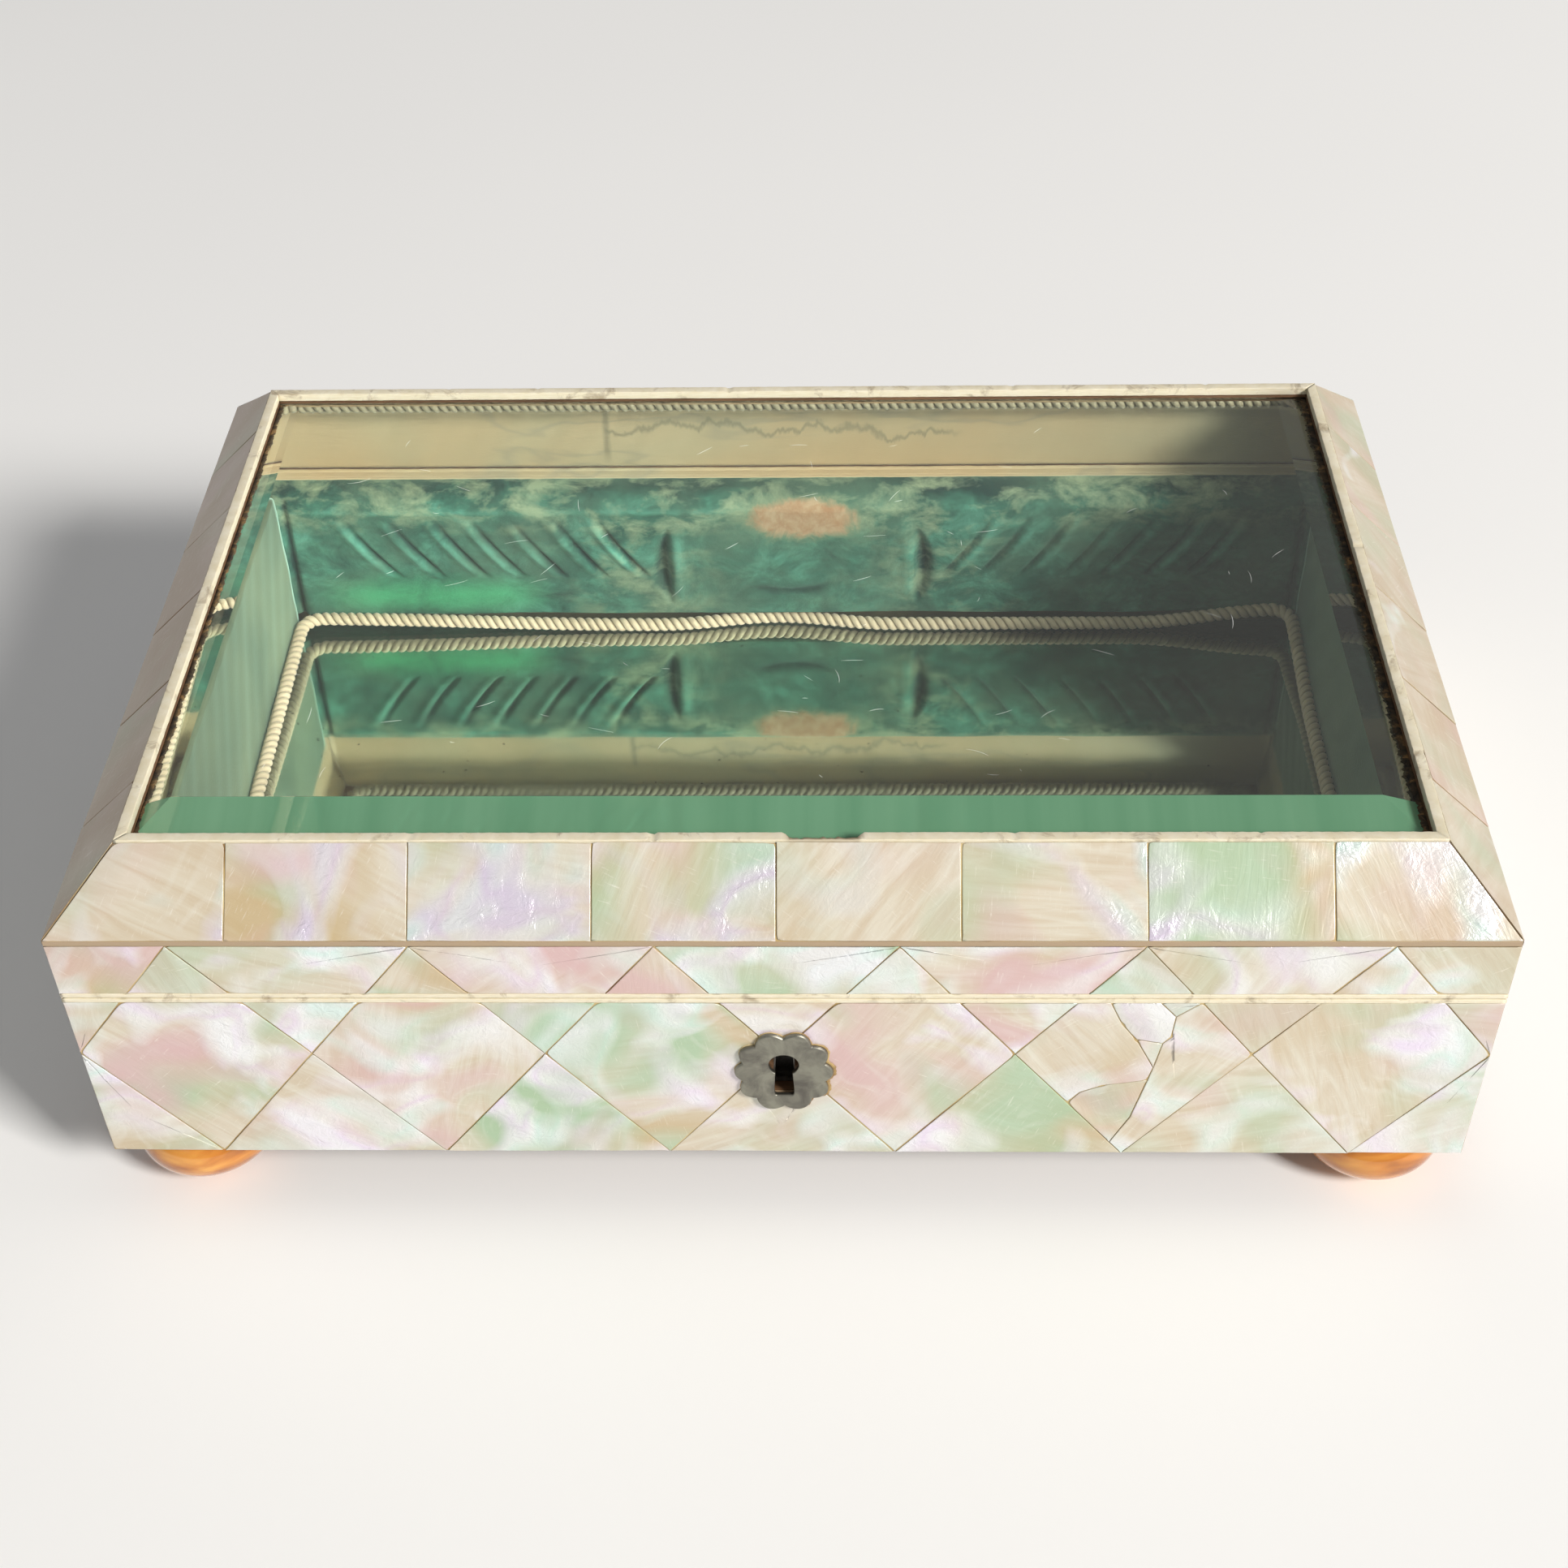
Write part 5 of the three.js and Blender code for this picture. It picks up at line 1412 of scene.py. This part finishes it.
class OBJECT_OT_pearl_box_escutcheon(bpy.types.Operator):
    """Make the scalloped escutcheon with its keyhole and the old glue round it"""
    bl_idname = "object.pearl_box_escutcheon"
    bl_label = "Escutcheon"

    def execute(self, context):
        mesh = Mesh()
        angle = np.linspace(0, 2 * math.pi, 320, endpoint=False)
        inner, outer = self.keyhole(angle), self.outline(angle)
        rows = (
            (0, 0.0, 0.02), (0, 0.0, 0.75), (0, 0.12, 0.92), (0, 0.35, 0.98), (0.3, 0, 0.99), (0.6, 0, 1.0),
            (0.85, 0, 1.0), (1, -0.5, 0.99), (1, -0.25, 0.9), (1, -0.06, 0.72), (1, 0, 0.5), (1, 0, 0.02),
        )
        radii = np.array([inner + (outer - inner) * share + shift for share, shift, _ in rows])
        out = np.array([np.full(len(angle), h) for _, _, h in rows])
        mesh.grid(self.points(radii, angle, out), wrap_rows=True)
        mesh.finish("escutcheon_plate", "box", "plate_steel", [MATERIAL["pewter"]], ("escutcheon",))
        glue = Mesh()
        rng = np.random.default_rng(121)
        ragged = waves_along(rng, 0.22, (0.5, 0.21, 0.11))(angle)
        right = np.clip(np.sin(angle - 0.35), 0, 1) ** 1.5
        far = outer + 0.1 + 0.65 * right + ragged * (0.3 + right)
        rings = (
            (outer - 1.0, 0.0), (outer - 0.3, 0.16), (0.5 * (outer + far), 0.18), (far, 0.05), (far, 0.0),
        )
        radii = np.array([r for r, _ in rings])
        out = np.array([np.full(len(angle), h) for _, h in rings])
        glue.grid(self.points(radii, angle, out), wrap_rows=True)
        glue.finish("escutcheon_glue", "box", "plate_steel", [MATERIAL["glue"]])
        return {"FINISHED"}

    @staticmethod
    def points(radii, angle, out):
        """Points round the plate's middle: radius, angle from the top, and how far out of the front."""
        x = PLATE_MIDDLE[0] + radii * np.sin(angle)
        z = PLATE_MIDDLE[2] + radii * np.cos(angle)
        return np.stack([x, -(HALF_DEPTH + out), z], axis=-1)

    @staticmethod
    def outline(angle):
        """Ten lobes: an oval's radius, less a share where two lobes meet."""
        lobes, depth = 10, 0.14
        half_width, half_height = 9.5 * 1.042, 11.8
        reach = 1 - depth * (1 - np.abs(np.sin(lobes / 2 * angle)))
        return reach * np.hypot(half_width * np.sin(angle), half_height * np.cos(angle))

    @staticmethod
    def keyhole(angle):
        """The radius to the keyhole's edge: the round hole above, and the slot's walls or foot below."""
        rise, radius, slot_half, slot_foot = 2.4, 3.0, 1.7, 6.8
        round_hole = rise * np.cos(angle) + np.sqrt(np.maximum(radius**2 - (rise * np.sin(angle)) ** 2, 0))
        aside, down = np.abs(np.sin(angle)) + 1e-6, -np.cos(angle)
        flare = 0.4 / slot_foot
        wall = slot_half / np.maximum(aside - flare * down, 1e-3)
        foot = slot_foot / np.maximum(down, 1e-3)
        slot = (wall**-8.0 + foot**-8.0) ** (-1 / 8.0)
        return np.where(down > 0.035, np.minimum(slot, 8.0), round_hole)


class OBJECT_OT_pearl_box_feet(bpy.types.Operator):
    """Turn the four bun feet"""
    bl_idname = "object.pearl_box_feet"
    bl_label = "Feet"

    def execute(self, context):
        radius, base, top = 15.5, 6.5, 11.5
        first, last = -math.acos(base / radius), math.acos(top / radius)
        turn = np.linspace(first, last, 34)
        height = (np.sin(turn) - math.sin(first)) / (math.sin(last) - math.sin(first)) * UNDERSIDE
        around = np.linspace(0, 2 * math.pi, 80, endpoint=False)
        reach = radius * np.cos(turn)
        for end in ("front_left", "front_right", "back_left", "back_right"):
            node = "foot_" + end
            x0, y0, _ = (low(node) + high(node)) / 2
            points = np.stack([
                x0 + reach[:, None] * np.cos(around), y0 + reach[:, None] * np.sin(around),
                np.repeat(height[:, None], len(around), axis=1)], axis=-1)
            mesh = Mesh()
            mesh.grid(points, np.array([(x0, y0, 0.0), (x0, y0, UNDERSIDE)]))
            mesh.finish("turned_" + node, "box", "amber_foot", [MATERIAL["foot"]], (node,))
        return {"FINISHED"}


class SCENE_OT_pearl_box_stage(bpy.types.Operator):
    """Set the pale floor, the soft lights and the camera"""
    bl_idname = "scene.pearl_box_stage"
    bl_label = "Stage"

    def execute(self, context):
        user = context.scene.pearl_box_stage
        size = 4.0
        mesh = bpy.data.meshes.new("floor")
        corners = [(-size, -size, 0), (size, -size, 0), (size, size, 0), (-size, size, 0)]
        mesh.from_pydata(corners, [], [(0, 1, 2, 3)])
        floor = bpy.data.objects.new("floor", mesh)
        context.collection.objects.link(floor)
        f = Finish("floor_paper")
        tone = f.noise(f.place(), 3.0, 2.0)
        colour = f.mix(f.spread(tone, 0.3, 0.7), tuple(user.floor), tuple(0.98 * c for c in user.floor))
        mesh.materials.append(f.surface(Base_Color=colour, Roughness=0.9, Specular_IOR_Level=0.1))
        world = bpy.data.worlds.new("white_room")
        context.scene.world = world
        world.use_nodes = True
        sky = world.node_tree.nodes["Background"]
        sky.inputs[0].default_value = (1.0, 1.0, 1.0, 1.0)
        sky.inputs[1].default_value = user.sky
        self.light("key", (3.25, -2.5, 2.75), 1.15, user.key, (1.0, 0.97, 0.93))
        self.light("fill", (-0.9, -1.1, 0.9), 0.9, user.fill, (0.95, 0.97, 1.0))
        self.camera(context, user.lens)
        context.scene.view_settings.view_transform = "Standard"
        return {"FINISHED"}

    def light(self, name, place, size, power, colour):
        """A square soft light that faces the middle of the box."""
        data = bpy.data.lights.new(name, "AREA")
        data.shape, data.size, data.energy, data.color = "SQUARE", size, power, colour
        lamp = bpy.data.objects.new(name, data)
        lamp.location = place
        lamp.rotation_euler = (Vector((0, 0, 0.04)) - Vector(place)).to_track_quat("-Z", "Y").to_euler()
        bpy.context.collection.objects.link(lamp)

    def camera(self, context, lens):
        """The photograph's view: turned by yaw about the upright, tipped down by pitch, and rolled."""
        place = np.array([12.6, -381.1, 380.5]) * MM
        pitch, yaw, roll = math.radians(42.23), math.radians(-2.05), math.radians(-1.48)
        ahead = np.array([math.sin(yaw) * math.cos(pitch), math.cos(yaw) * math.cos(pitch), -math.sin(pitch)])
        right = np.array([math.cos(yaw), -math.sin(yaw), 0.0])
        up = np.cross(right, ahead)
        right, up = right * math.cos(roll) + up * math.sin(roll), up * math.cos(roll) - right * math.sin(roll)
        data = bpy.data.cameras.new("camera")
        data.lens, data.sensor_width, data.sensor_fit = lens, 36.0, "HORIZONTAL"
        data.clip_start, data.clip_end = 0.01, 20.0
        eye = bpy.data.objects.new("camera", data)
        turn = Matrix(np.column_stack([right, up, -ahead]).tolist()).to_4x4()
        eye.matrix_world = Matrix.Translation(place.tolist()) @ turn
        context.collection.objects.link(eye)
        context.scene.camera = eye


STEPS = (
    SCENE_OT_pearl_box_stage, OBJECT_OT_pearl_box_finishes, OBJECT_OT_pearl_box_tiles,
    OBJECT_OT_pearl_box_strips, OBJECT_OT_pearl_box_glass, OBJECT_OT_pearl_box_mirror,
    OBJECT_OT_pearl_box_pads, OBJECT_OT_pearl_box_linings, OBJECT_OT_pearl_box_cords,
    OBJECT_OT_pearl_box_escutcheon, OBJECT_OT_pearl_box_feet,
)
GROUPS = {
    "pearl_box_shell": PearlBoxShellSettings, "pearl_box_inside": PearlBoxInsideSettings,
    "pearl_box_fittings": PearlBoxFittingSettings, "pearl_box_stage": PearlBoxStageSettings,
}


class VIEW3D_PT_pearl_box(bpy.types.Panel):
    """Lists the steps that build the box, with their sizes and colours"""
    bl_label = "Pearl box"
    bl_space_type = "VIEW_3D"
    bl_region_type = "UI"
    bl_category = "Pearl box"

    def draw(self, context):
        for step in STEPS:
            self.layout.operator(step.bl_idname)
        for key, group in GROUPS.items():
            box = self.layout.box()
            for name in group.__annotations__:
                box.prop(getattr(context.scene, key), name)


def register():
    for group in GROUPS.values():
        bpy.utils.register_class(group)
    for step in (*STEPS, VIEW3D_PT_pearl_box):
        bpy.utils.register_class(step)
    for key, group in GROUPS.items():
        setattr(bpy.types.Scene, key, bpy.props.PointerProperty(type=group))


def unregister():
    for key in GROUPS:
        delattr(bpy.types.Scene, key)
    for step in (VIEW3D_PT_pearl_box, *reversed(STEPS)):
        bpy.utils.unregister_class(step)
    for group in GROUPS.values():
        bpy.utils.unregister_class(group)


def main():
    register()
    for step in STEPS:
        area_name, name = step.bl_idname.split(".")
        getattr(getattr(bpy.ops, area_name), name)()


if __name__ == "__main__":
    main()
